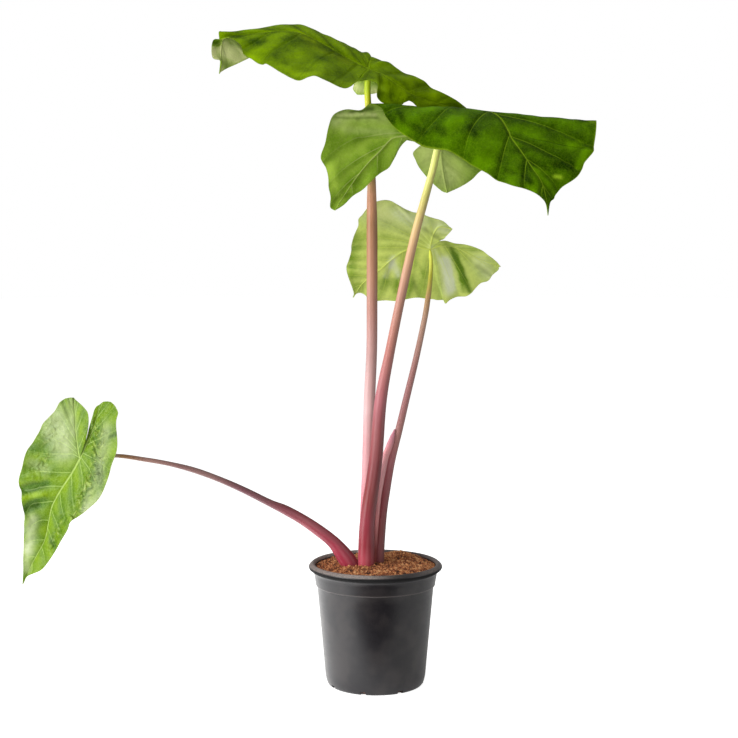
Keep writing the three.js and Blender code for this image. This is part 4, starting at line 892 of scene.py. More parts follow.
class Nodes:
    """Adds nodes to a shader tree and links them."""

    def __init__(self, tree):
        self.tree = tree

    def put(self, socket, value):
        """Links a socket to a socket, or sets its value."""
        if isinstance(value, bpy.types.NodeSocket):
            self.tree.links.new(value, socket)
        elif value is not None:
            if socket.type == "RGBA" and len(value) == 3:
                value = (*value, 1)
            socket.default_value = value

    def add(self, kind, inputs=None, **settings):
        """A new node with its settings and inputs."""
        node = self.tree.nodes.new(kind)
        for key, value in settings.items():
            setattr(node, key, value)
        for key, value in (inputs or {}).items():
            self.put(node.inputs[key], value)
        return node

    def math(self, operation, a, b=None, c=None, clamp=False):
        node = self.add("ShaderNodeMath", operation=operation, use_clamp=clamp)
        for socket, value in zip(node.inputs, (a, b, c)):
            self.put(socket, value)
        return node.outputs[0]

    def times(self, a, b, plus=None, clamp=False):
        """A times b, with plus added where it is given."""
        return self.math("MULTIPLY" if plus is None else "MULTIPLY_ADD", a, b, plus, clamp)

    def sway(self, value, amount, start):
        """Start, moved by amount times how far the value is from a half."""
        return self.times(self.math("SUBTRACT", value, 0.5), amount, start)

    def wander(self, place, noise, amount):
        """A place moved aside by a noise colour."""
        inputs = {0: noise, 1: (amount, amount, amount), 2: place}
        return self.add("ShaderNodeVectorMath", inputs, operation="MULTIPLY_ADD").outputs[0]

    def mottling(self, place, broad, fine, net):
        """The mottling at a place, from the three scales."""
        return self.group(mottle_group(), Place=place, Broad_Scale=broad, Fine_Scale=fine, Net_Scale=net)

    def bump(self, shader, height, distance, strength):
        """Gives the shader's surface a fine relief."""
        node = self.add("ShaderNodeBump", {"Height": height, "Distance": distance, "Strength": strength})
        self.put(shader["Normal"], node.outputs[0])

    def mix(self, factor, a, b, blend="MIX"):
        """A colour between two colours."""
        node = self.add("ShaderNodeMix", data_type="RGBA", blend_type=blend, clamp_factor=True)
        self.put(node.inputs["Factor"], factor)
        self.put(node.inputs[6], a)
        self.put(node.inputs[7], b)
        return node.outputs[2]

    def blend(self, factor, a, b):
        """A number between two numbers."""
        node = self.add("ShaderNodeMix", data_type="FLOAT", clamp_factor=True)
        for socket, value in zip((node.inputs[0], node.inputs[2], node.inputs[3]), (factor, a, b)):
            self.put(socket, value)
        return node.outputs[0]

    def smooth(self, value, low, high, to_low=0.0, to_high=1.0):
        """A soft step as the value goes from low to high."""
        inputs = {"Value": value, "From Min": low, "From Max": high, "To Min": to_low, "To Max": to_high}
        return self.add("ShaderNodeMapRange", inputs, interpolation_type="SMOOTHSTEP").outputs[0]

    def band(self, value, rise, fall):
        """A mask that rises softly over one stretch and falls over another."""
        return self.times(self.smooth(value, *rise), self.smooth(value, *fall, 1.0, 0.0))

    def value(self, name):
        """A number from the mesh's points."""
        return self.add("ShaderNodeAttribute", attribute_name=name).outputs["Fac"]

    def vector(self, name):
        """A vector from the mesh's points."""
        return self.add("ShaderNodeAttribute", attribute_name=name).outputs["Vector"]

    def noise(self, place, scale, detail=3.0, roughness=0.5):
        inputs = {"Vector": place, "Scale": scale, "Detail": detail, "Roughness": roughness}
        return self.add("ShaderNodeTexNoise", inputs).outputs["Fac"]

    def puckers(self, place, scale):
        """Distance to the middle of rounded cells."""
        inputs = {"Vector": place, "Scale": scale}
        return self.add("ShaderNodeTexVoronoi", inputs, feature="SMOOTH_F1").outputs["Distance"]

    def place(self):
        """The place on the object, in metres."""
        return self.add("ShaderNodeTexCoord").outputs["Object"]

    def stretch(self, place, scale):
        return self.add("ShaderNodeMapping", {"Vector": place, "Scale": scale}).outputs[0]

    def ramp(self, factor, stops):
        """A colour from stops of position and colour."""
        node = self.add("ShaderNodeValToRGB", {"Fac": factor})
        elements = node.color_ramp.elements
        while len(elements) < len(stops):
            elements.new(1.0)
        for element, (position, colour) in zip(elements, stops):
            element.position = position
            element.color = (*colour, 1)
        return node.outputs["Color"]

    def group(self, tree, **inputs):
        """The outputs of a node group."""
        node = self.add("ShaderNodeGroup", node_tree=tree)
        for key, value in inputs.items():
            self.put(node.inputs[key.replace("_", " ")], value)
        return node.outputs


def new_group(name, inputs, outputs):
    """A shader node group of numbers and a place, and its helper, input and output nodes."""
    tree = bpy.data.node_groups.new(name, "ShaderNodeTree")
    for label in inputs:
        kind = "NodeSocketVector" if label == "Place" else "NodeSocketFloat"
        tree.interface.new_socket(name=label, in_out="INPUT", socket_type=kind)
    for label in outputs:
        tree.interface.new_socket(name=label, in_out="OUTPUT", socket_type="NodeSocketFloat")
    nodes = Nodes(tree)
    return nodes, nodes.add("NodeGroupInput").outputs, nodes.add("NodeGroupOutput").inputs


def new_material(name):
    """An empty material with its shader, and the helper that fills it."""
    material = bpy.data.materials.new(name)
    material.use_nodes = True
    material.node_tree.nodes.clear()
    nodes = Nodes(material.node_tree)
    shader = nodes.add("ShaderNodeBsdfPrincipled")
    output = nodes.add("ShaderNodeOutputMaterial")
    nodes.put(output.inputs["Surface"], shader.outputs[0])
    return material, nodes, shader.inputs


def vein_group():
    """Masks of the main ribs and the side veins, and the rise of the blade from one vein towards the next."""
    found = bpy.data.node_groups.get("Leaf veins")
    if found:
        return found
    nodes, given, out = new_group(
        "Leaf veins",
        ("Phase", "Reach", "Rib Distance", "Rib Width", "Vein Width", "Valley Width"),
        ("Ribs", "Veins", "Rise", "Middle"),
    )
    from_vein = nodes.math("PINGPONG", given["Phase"], 0.5)
    gap = nodes.times(from_vein, given["Reach"])
    vein = nodes.math("DIVIDE", gap, given["Vein Width"], clamp=True)
    nodes.put(out["Veins"], nodes.smooth(vein, 0.1, 1.0, 1.0, 0.0))
    rib = nodes.math("DIVIDE", given["Rib Distance"], given["Rib Width"], clamp=True)
    nodes.put(out["Ribs"], nodes.smooth(rib, 0.45, 1.0, 1.0, 0.0))
    nearest = nodes.math("MINIMUM", gap, given["Rib Distance"])
    rise = nodes.smooth(nodes.math("DIVIDE", nearest, given["Valley Width"], clamp=True), 0.0, 1.0)
    nodes.put(out["Rise"], nodes.times(rise, nodes.smooth(given["Reach"], 3.0, 24.0)))
    nodes.put(out["Middle"], nodes.smooth(from_vein, 0.0, 0.5))
    return nodes.tree


def mottle_group():
    """Broad and fine mottling and a fine net of small veins or cracks, all from a place in metres."""
    found = bpy.data.node_groups.get("Mottling")
    if found:
        return found
    nodes, given, out = new_group(
        "Mottling", ("Place", "Broad Scale", "Fine Scale", "Net Scale"), ("Broad", "Fine", "Net")
    )
    nodes.put(out["Broad"], nodes.noise(given["Place"], given["Broad Scale"], 2.0))
    nodes.put(out["Fine"], nodes.noise(given["Place"], given["Fine Scale"], 5.0, 0.6))
    inputs = {"Vector": given["Place"], "Scale": given["Net Scale"], "Detail": 2.0}
    noise = nodes.add("ShaderNodeTexNoise", inputs).outputs["Color"]
    inputs = {"Vector": nodes.wander(given["Place"], noise, 0.004), "Scale": given["Net Scale"]}
    cells = nodes.add("ShaderNodeTexVoronoi", inputs, feature="DISTANCE_TO_EDGE")
    nodes.put(out["Net"], nodes.smooth(cells.outputs["Distance"], 0.0, 0.14, 1.0, 0.0))
    return nodes.tree


# Finishes


def blade_puckers(nodes, place):
    """Rounded puckers, and how far each point of them leans to the light."""
    noise = nodes.add("ShaderNodeTexNoise", {"Vector": place, "Scale": 60.0, "Detail": 1.0}).outputs["Color"]
    folds = nodes.wander(place, noise, 0.02)
    towards_light = {0: folds, 1: (0.0014, 0.0, -0.0012)}
    lifted = nodes.add("ShaderNodeVectorMath", towards_light, operation="ADD").outputs[0]
    quilt, turned = (nodes.puckers(at, 135.0) for at in (folds, lifted))
    return quilt, nodes.math("SUBTRACT", turned, quilt)


def blade_greens(nodes, look, mottle, veins, pucker, lit):
    """Colours of the upper side and the underside, without ribs and side veins."""
    # The light share holds random tone and also painted light and shade from the strokes and each leaf's
    # level
    light = nodes.sway(mottle["Broad"], look.mottling, nodes.value("tone"))
    # Painted light and shade on the puckers: the side of each that leans to the light is paler, the other
    # darker
    light = nodes.times(nodes.times(lit, pucker), 7.0, light)
    light = nodes.sway(mottle["Fine"], 0.9, light)
    # Painted light and shade from the relief: paler midway between side veins, darker beside them
    light = nodes.sway(veins["Middle"], 0.6, light)
    share = nodes.smooth(light, -1.3, 1.3)
    above = nodes.mix(share, look.deep, nodes.mix(nodes.value("olive"), look.fresh, look.olive))
    below = nodes.mix(share, look.under_deep, look.under_fresh)
    # Pale patches: partly a pale waxy coating, partly painted sheen on glossy folds and painted light in
    # shaded places
    patchy = nodes.smooth(mottle["Fine"], 0.2, 0.6, 0.7, 1.0)
    bloom = nodes.times(nodes.value("bloom"), patchy, clamp=True)
    above = nodes.mix(bloom, above, look.bloom)
    below = nodes.mix(bloom, below, look.under_bloom_and_sheen)
    # Painted highlight on the crests of the puckers that lean to the light
    crest_highlight = nodes.times(nodes.smooth(lit, 0.05, 0.13), nodes.smooth(mottle["Fine"], 0.4, 0.6, 0.1, 0.6))
    above = nodes.mix(nodes.times(crest_highlight, pucker), above, look.crest_highlight)
    net = nodes.times(mottle["Net"], 0.12)
    return nodes.mix(net, above, look.vein), nodes.mix(net, below, look.under_vein)


def blade_colour(nodes, look, veins, upper, above, below):
    """The side that shows, with its ribs and side veins, its pale rim and dark creases and fold bands painted
    as shade.
    """
    across = nodes.value("across")
    side = nodes.times(veins["Veins"], nodes.smooth(across, 0.1, 0.95, 0.8, 0.2))
    main = nodes.math("MAXIMUM", nodes.times(veins["Ribs"], 0.85), side)
    shown = nodes.times(main, nodes.times(nodes.value("contrast"), look.vein_contrast))
    above = nodes.mix(shown, above, look.vein)
    below = nodes.mix(nodes.times(main, 0.72), below, look.under_vein)
    colour = nodes.mix(upper, below, above)
    rim = nodes.smooth(across, 0.98, 0.997)
    colour = nodes.mix(nodes.times(rim, 0.45), colour, look.rim)
    # Painted shade: creases and fold bands darkened towards a deep olive
    return nodes.mix(nodes.value("crease"), colour, (0.2, 0.25, 0.14), "MULTIPLY")


def blade_height(nodes, look, mottle, veins, pucker, quilt, upper):
    """Fine relief: valleys along the veins above and ridges beneath, puckers and grain."""
    rise = nodes.times(veins["Rise"], look.valleys)
    rise = nodes.times(quilt, nodes.times(pucker, -9.0, -look.quilting), rise)
    rise = nodes.times(mottle["Net"], -0.08, rise)
    rise = nodes.times(veins["Ribs"], -0.5, rise)
    height = nodes.times(rise, nodes.blend(upper, -0.4, 1.0))
    return nodes.times(mottle["Fine"], 0.2, height)


def blade_finish(name, look):
    """Green blade: deep green above, paler beneath, with thin ribs and veins and a thin pale rim."""
    material, nodes, shader = new_material(name)
    upper = nodes.value("upper")
    pucker = nodes.value("pucker")
    place = nodes.place()
    mottle = nodes.mottling(place, 24.0, 190.0, 260.0)
    veins = nodes.group(
        vein_group(),
        Phase=nodes.value("phase"),
        Reach=nodes.value("reach"),
        Rib_Distance=nodes.value("rib"),
        Rib_Width=nodes.value("rib_width"),
        Vein_Width=look.vein_width / MM,
        Valley_Width=7.0,
    )
    quilt, lit = blade_puckers(nodes, place)
    above, below = blade_greens(nodes, look, mottle, veins, pucker, lit)
    nodes.put(shader["Base Color"], blade_colour(nodes, look, veins, upper, above, below))
    roughness = nodes.blend(upper, look.under_roughness, look.roughness)
    roughness = nodes.times(mottle["Fine"], 0.16, nodes.math("SUBTRACT", roughness, 0.08))
    nodes.put(shader["Roughness"], roughness)
    height = blade_height(nodes, look, mottle, veins, pucker, quilt, upper)
    nodes.bump(shader, height, look.relief, 0.9)
    shader["Specular IOR Level"].default_value = look.gloss
    shader["Specular Tint"].default_value = (*look.gloss_tint, 1)
    return material


def stalk_finish(name, stops, look):
    """Smooth stalk skin, its colour running up the stalk, with fine lengthwise streaks and painted light and
    shade on its two flanks.
    """
    material, nodes, shader = new_material(name)
    skin = nodes.vector("skin")
    long_grain = nodes.stretch(skin, (1.0, 1.0, 0.06))
    mottle = nodes.mottling(long_grain, 150.0, 700.0, 300.0)
    patches = nodes.noise(nodes.stretch(skin, (1.0, 1.0, 0.3)), 45.0, 2.0)
    colour = nodes.ramp(nodes.value("along"), [(place, srgb(*shade)) for place, shade in stops])
    darker = nodes.mix(1.0, colour, (0.72, 0.66, 0.66), "MULTIPLY")
    lighter = nodes.mix(0.22, colour, (0.9, 0.82, 0.8))
    streak = nodes.smooth(mottle["Broad"], 0.35, 0.7)
    colour = nodes.mix(nodes.times(streak, 0.25), colour, lighter)
    colour = nodes.mix(nodes.smooth(patches, 0.5, 0.8, 0.0, 0.5), colour, darker)
    colour = nodes.mix(nodes.smooth(mottle["Fine"], 0.55, 0.75, 0.0, 0.25), colour, darker)
    # Painted light and shade: one flank of the stalk is made lighter and the other darker
    side = nodes.value("side")
    lit = nodes.mix(1.0, colour, (1.24, 1.26, 1.32), "MULTIPLY")
    dim = nodes.mix(1.0, colour, (0.55, 0.5, 0.48), "MULTIPLY")
    colour = nodes.mix(nodes.smooth(side, -1.0, 0.0, look.painted_flank_light, 0.0), colour, lit)
    colour = nodes.mix(nodes.smooth(side, 0.0, 1.0, 0.0, look.painted_flank_light), colour, dim)
    nodes.put(shader["Base Color"], colour)
    rough = nodes.smooth(mottle["Fine"], 0.2, 0.8, look.roughness - 0.07, look.roughness + 0.1)
    nodes.put(shader["Roughness"], rough)
    height = nodes.times(mottle["Broad"], 0.7, mottle["Fine"])
    nodes.bump(shader, height, 0.0005, 0.22)
    return material


def pot_finish(look):
    """Dark grey moulded plastic with a satin skin and a dusty lip.

    The lip and the rounded edge at the collar's foot carry painted highlights, and painted shade darkens the
    band under the lip.
    """
    material, nodes, shader = new_material("pot plastic")
    place = nodes.place()
    across, _, height = nodes.add("ShaderNodeSeparateXYZ", {0: place}).outputs
    mottle = nodes.mottling(place, 26.0, 420.0, 60.0)
    bands = nodes.noise(nodes.stretch(place, (0.25, 0.25, 1.0)), 260.0, 3.0)
    patchy = nodes.smooth(mottle["Fine"], 0.3, 0.6, 0.5, 1.0)
    # The lip is dusty and also carries a painted highlight: full at the left, faint in the middle, stronger
    # at the right
    lip = nodes.times(nodes.smooth(height, 0.187, 0.1888), patchy)
    left_end = nodes.smooth(across, -0.02, 0.035, 1.0, 0.15)
    right_end = nodes.smooth(across, 0.05, 0.09, 0.0, 0.45)
    lip = nodes.times(lip, nodes.math("ADD", left_end, right_end))
    foot = COLLAR_FOOT_Z * MM
    # Painted highlight: a thin pale line along the rounded edge at the collar's foot
    ridge_highlight = nodes.band(height, (foot - 0.0012, foot), (foot, foot + 0.0016))
    # Painted shade: the band just under the lip is darkened almost to black, with its roughness raised to 1
    under = nodes.band(height, (0.1795, 0.182), (0.186, 0.1872))
    dust_and_highlight = nodes.times(nodes.smooth(mottle["Broad"], 0.4, 0.7), 0.06, nodes.times(ridge_highlight, 0.22))
    dust_and_highlight = nodes.math("MAXIMUM", dust_and_highlight, nodes.times(lip, 0.95))
    colour = nodes.mix(dust_and_highlight, look.colour, look.dust_and_highlight)
    colour = nodes.mix(nodes.times(under, 0.85), colour, look.painted_shade)
    nodes.put(shader["Base Color"], colour)
    rough = nodes.times(lip, 0.12, look.roughness - 0.1)
    rough = nodes.times(bands, 0.12, rough)
    rough = nodes.times(mottle["Fine"], 0.1, rough)
    nodes.put(shader["Roughness"], nodes.blend(under, rough, 1.0))
    relief = nodes.times(bands, 0.6, mottle["Fine"])
    nodes.bump(shader, relief, 0.00015, 0.4)
    return material


def soil_finish(look):
    """Fibrous orange-brown mix with dark crumbs and pale flecks; raised crumbs are painted lighter and the
    cracks darker, as light and shade.
    """
    material, nodes, shader = new_material("potting mix")
    mottle = nodes.mottling(nodes.place(), 70.0, 520.0, 330.0)
    height = nodes.value("crumb")
    share = nodes.times(mottle["Fine"], 1.5, nodes.times(mottle["Broad"], 0.9))
    # Painted light and shade: raised crumbs are paler, and the crack net below is darker
    share = nodes.times(height, 0.3, share)
    stops = ((0.0, look.dark), (0.4, look.colour), (0.75, look.bright), (1.0, look.fleck))
    colour = nodes.ramp(nodes.smooth(share, 0.96, 1.48), stops)
    colour = nodes.mix(nodes.times(mottle["Net"], 0.25), colour, look.dark)
    nodes.put(shader["Base Color"], colour)
    shader["Roughness"].default_value = 0.95
    nodes.bump(shader, mottle["Fine"], 0.0015, 0.9)
    return material


def corm_finish():
    """Brown fibrous skin in rings."""
    material, nodes, shader = new_material("corm skin")
    mottle = nodes.mottling(nodes.stretch(nodes.place(), (1.0, 1.0, 4.0)), 40.0, 300.0, 80.0)
    share = nodes.times(mottle["Fine"], 0.6, nodes.times(mottle["Broad"], 0.5))
    nodes.put(shader["Base Color"], nodes.mix(share, srgb(70, 44, 30), srgb(142, 102, 74)))
    shader["Roughness"].default_value = 0.85
    nodes.bump(shader, mottle["Fine"], 0.001, 0.8)
    return material


# Settings


def tint(label, text, default):
    return FloatVectorProperty(
        name=label, description=text, default=srgb(*default), subtype="COLOR", size=3, min=0.0, max=1.0
    )


def fraction(label, text, default, most=1):
    return FloatProperty(name=label, description=text, default=default, min=0, max=most)


def amount(label, text, default):
    return FloatProperty(name=label, description=text, default=default, min=0)


def metres(label, text, default):
    return FloatProperty(name=label, description=text, default=default, unit="LENGTH")


def watts(label, text, default):
    return FloatProperty(name=label, description=text, default=default, unit="POWER")


class AlocasiaPot(bpy.types.PropertyGroup):
    colour: tint("Colour", "Colour of the pot's plastic", (23, 20, 24))
    # Dust and scuffs share this colour with the painted highlights on the lip and the edge at the collar's
    # foot
    dust_and_highlight: tint("Dust and highlight", "Colour of the dust and scuffs", (142, 131, 126))
    # Colour of the painted shade under the lip
    painted_shade: tint("Painted shade", "Colour of the grime under the lip", (8, 8, 8))
    roughness: fraction("Roughness", "Roughness of the skin", 0.34)


class AlocasiaSoil(bpy.types.PropertyGroup):
    colour: tint("Mix", "Main colour of the mix", (146, 80, 43))
    # Damp crumbs, and painted shade in the cracks between crumbs
    dark: tint("Dark crumbs", "Colour of damp crumbs and gaps", (58, 32, 20))
    bright: tint("Fibres", "Colour of dry fibres", (199, 124, 73))
    fleck: tint("Flecks", "Colour of the palest flecks", (216, 162, 112))
    crumb: metres("Crumb size", "Radius of the largest crumbs", 0.0026)
    crumbs: IntProperty(name="Crumbs", description="Number of crumbs on the surface", default=2800, min=0)


class AlocasiaStalks(bpy.types.PropertyGroup):
    # Strength of the painted light and shade on the two flanks
    painted_flank_light: fraction("Painted flank light", "Difference between the two flanks", 0.8)
    ribbing: fraction("Ribbing", "Depth of the lengthwise ribs", 0.009, 0.2)
    roughness: fraction("Roughness", "Roughness of the skin", 0.42)


class BladeLook:
    thickness: metres("Thickness", "Blade thickness", 0.0011)
    vein_width: metres("Vein width", "Side vein half width", 0.001)


class AlocasiaMatureBlades(BladeLook, bpy.types.PropertyGroup):
    relief: metres("Relief", "Height of the fine relief", 0.0022)
    mottling: amount("Mottling", "Strength of the broad mottling", 2.2)
    vein_contrast: fraction("Vein contrast", "Vein strength above", 0.5)
    quilting: fraction("Quilting", "Depth of the puckers", 0.35, 2)
    valleys: fraction("Valleys", "Depth of the valleys along veins", 0.9, 2)
    gloss: fraction("Gloss", "Strength of reflections", 0.03)
    gloss_tint: tint("Gloss tint", "Tint of reflections", (200, 230, 20))
    roughness: fraction("Roughness above", "Upper side roughness", 0.45)
    under_roughness: fraction("Roughness beneath", "Underside roughness", 0.5)
    deep: tint("Deep green", "Darkest green of the upper side", (26, 54, 0))
    fresh: tint("Fresh green", "Lightest green of the upper side", (98, 150, 0))
    olive: tint("Olive", "Lightest green of an older upper side", (131, 157, 0))
    # Pale patches are partly a waxy coating, partly painted sheen and painted light
    bloom: tint("Bloom and sheen", "Pale patches of the upper side", (165, 205, 40))
    # Painted highlight on the lit crests of the puckers
    crest_highlight: tint("Crest highlights", "Lit crests of the puckers", (170, 200, 60))
    vein: tint("Veins", "Veins of the upper side", (142, 174, 34))
    under_deep: tint("Deep green beneath", "Darkest green of the underside", (93, 130, 16))
    under_fresh: tint("Fresh green beneath", "Lightest green of the underside", (158, 190, 64))
    under_bloom_and_sheen: tint("Bloom beneath", "Pale patches of the underside", (230, 234, 165))
    under_vein: tint("Veins beneath", "Veins of the underside", (178, 192, 110))
    rim: tint("Rim", "Thin rim of the blade", (150, 175, 40))


class AlocasiaYoungBlades(BladeLook, bpy.types.PropertyGroup):
    relief: metres("Relief", "Height of the fine relief", 0.0014)
    mottling: amount("Mottling", "Strength of the broad mottling", 1.6)
    vein_contrast: fraction("Vein contrast", "Vein strength above", 0.6)
    quilting: fraction("Quilting", "Depth of the puckers", 0.7, 2)
    valleys: fraction("Valleys", "Depth of the valleys along veins", 0.45, 2)
    gloss: fraction("Gloss", "Strength of reflections", 0.3)
    gloss_tint: tint("Gloss tint", "Tint of reflections", (235, 250, 215))
    roughness: fraction("Roughness above", "Upper side roughness", 0.34)
    under_roughness: fraction("Roughness beneath", "Underside roughness", 0.42)
    deep: tint("Deep green", "Darkest green of the upper side", (64, 104, 0))
    fresh: tint("Fresh green", "Lightest green of the upper side", (130, 160, 14))
    olive: tint("Olive", "Lightest green of an older upper side", (150, 160, 40))
    # Pale patches are partly a waxy coating, partly painted sheen and painted light
    bloom: tint("Bloom and sheen", "Pale patches of the upper side", (182, 192, 148))
    # Painted highlight on the lit crests of the puckers
    crest_highlight: tint("Crest highlights", "Lit crests of the puckers", (208, 226, 150))
    vein: tint("Veins", "Veins of the upper side", (190, 216, 120))
    under_deep: tint("Deep green beneath", "Darkest green of the underside", (98, 137, 14))
    under_fresh: tint("Fresh green beneath", "Lightest green of the underside", (216, 231, 120))
    under_bloom_and_sheen: tint("Bloom beneath", "Pale patches of the underside", (216, 225, 186))
    under_vein: tint("Veins beneath", "Veins of the underside", (214, 228, 100))
    rim: tint("Rim", "Thin rim of the blade", (170, 180, 110))


class AlocasiaStage(bpy.types.PropertyGroup):
    floor: tint("Floor", "Colour of the floor", (250, 250, 249))
    glow: amount("Floor glow", "Extra light of the floor to the eye", 0.8)
    # A glow that only mirrored rays see, a painted reflection on the pot
    sheen: amount("Floor sheen", "Light of the floor at the left as mirrored", 1.6)
    sky: amount("Room light", "Strength of the light from all round", 0.25)
    key: watts("Key light", "Power of the large soft light", 52.0)
    fill: watts("Fill light", "Power of the fill light", 7.0)
    front: watts("Front light", "Power of the low light in front", 16.0)
    top: watts("Top light", "Power of the light above", 20.0)


class AlocasiaSettings(bpy.types.PropertyGroup):
    pot: PointerProperty(type=AlocasiaPot)
    soil: PointerProperty(type=AlocasiaSoil)
    stalks: PointerProperty(type=AlocasiaStalks)
    mature: PointerProperty(type=AlocasiaMatureBlades)
    young: PointerProperty(type=AlocasiaYoungBlades)
    stage: PointerProperty(type=AlocasiaStage)


# Operators


def wall_radius(height, inset=0.0):
    """Radius of the pot's tapered wall at a height."""
    share = (height - HEEL_Z) / (COLLAR_FOOT_Z - HEEL_Z)
    return HEEL_RADIUS + (WALL_TOP_RADIUS - HEEL_RADIUS) * share - inset


class ALOCASIA_OT_pot(bpy.types.Operator):
    """Add the nursery pot with its rolled lip, stepped collar and drain slots"""

    bl_idname = "alocasia.pot"
    bl_label = "Pot"

    def execute(self, context):
        wall = [(wall_radius(z), z) for z in np.linspace(HEEL_Z, COLLAR_FOOT_Z - 2.2, 12)]
        inside = [(wall_radius(z, POT_WALL), z) for z in np.linspace(COLLAR_FOOT_Z, HEEL_Z, 8)]
        profile = [
            (0, 0), (60, 0), (FOOT_RADIUS - 1, 0), (FOOT_RADIUS + 1, 0.5), (FOOT_RADIUS + 2.3, 2),
            (FOOT_RADIUS + 3.3, 4.5), (HEEL_RADIUS - 1.1, 9), *wall,
            (WALL_TOP_RADIUS + 0.1, COLLAR_FOOT_Z - 1.4), (COLLAR_FOOT_RADIUS - 0.5, COLLAR_FOOT_Z - 0.6),
            (COLLAR_FOOT_RADIUS, COLLAR_FOOT_Z), (COLLAR_FOOT_RADIUS + 0.1, COLLAR_FOOT_Z + 0.8),
            (COLLAR_FOOT_RADIUS + 0.9, COLLAR_FOOT_Z + 7), (COLLAR_TOP_RADIUS - 0.4, 173),
            (COLLAR_TOP_RADIUS, RIM_FOOT_Z), (COLLAR_TOP_RADIUS + 0.9, RIM_FOOT_Z + 1.4),
            (RIM_RADIUS - 2.6, RIM_EDGE_Z - 3.9), (RIM_RADIUS - 0.9, RIM_EDGE_Z - 2.6),
            (RIM_RADIUS, RIM_EDGE_Z - 0.9), (RIM_RADIUS, RIM_EDGE_Z + 0.6),
            (RIM_RADIUS - 0.7, RIM_EDGE_Z + 1.9), (RIM_RADIUS - 2.2, POT_HEIGHT - 2.4),
            (RIM_RADIUS - 4, POT_HEIGHT - 0.8), (RIM_RADIUS - 5.5, POT_HEIGHT), (RIM_RADIUS - 7, POT_HEIGHT),
            (RIM_RADIUS - 8.4, POT_HEIGHT - 0.8), (COLLAR_TOP_RADIUS - POT_WALL + 0.5, POT_HEIGHT - 2.4),
            (COLLAR_TOP_RADIUS - POT_WALL, POT_HEIGHT - 5),
            (COLLAR_FOOT_RADIUS - POT_WALL, COLLAR_FOOT_Z + 2), *inside,
            (FOOT_RADIUS, POT_FLOOR), (0, POT_FLOOR),
        ]
        points, faces = lathe(profile, POT_SEGMENTS)
        pot = make_piece("pot_moulded", points, faces, node="pot", slot="pot_plastic")
        self.cut_drains(pot)
        pot.data.set_sharp_from_angle(angle=math.radians(42))
        pot.data.materials.append(pot_finish(context.scene.alocasia.pot))
        return {"FINISHED"}

    def cut_drains(self, pot):
        """Cuts the drain slots at the foot."""
        points = []
        faces = []
        length, width, height = (size / 2 for size in DRAIN_SIZE)
        for i in range(DRAIN_COUNT):
            angle = DRAIN_FIRST_ANGLE + 2 * math.pi * i / DRAIN_COUNT
            base = len(points)
            for z in (-height, height):
                for x, y in ((-length, -width), (length, -width), (length, width), (-length, width)):
                    x += FOOT_RADIUS + 1
                    turned_x = x * math.cos(angle) - y * math.sin(angle)
                    turned_y = x * math.sin(angle) + y * math.cos(angle)
                    points.append((turned_x, turned_y, z))
            faces += [[base + k for k in (3, 2, 1, 0)], [base + k for k in (4, 5, 6, 7)]]
            faces += [[base + k, base + (k + 1) % 4, base + 4 + (k + 1) % 4, base + 4 + k] for k in range(4)]
        cutter = make_piece("drain_cutter", points, faces)
        modifier = pot.modifiers.new("drains", "BOOLEAN")
        modifier.operation = "DIFFERENCE"
        modifier.object = cutter
        modifier.solver = "EXACT"
        graph = bpy.context.evaluated_depsgraph_get()
        cut = bpy.data.meshes.new_from_object(pot.evaluated_get(graph))
        pot.modifiers.clear()
        pot.data = cut
        cut.shade_smooth()
        bpy.data.objects.remove(cutter)


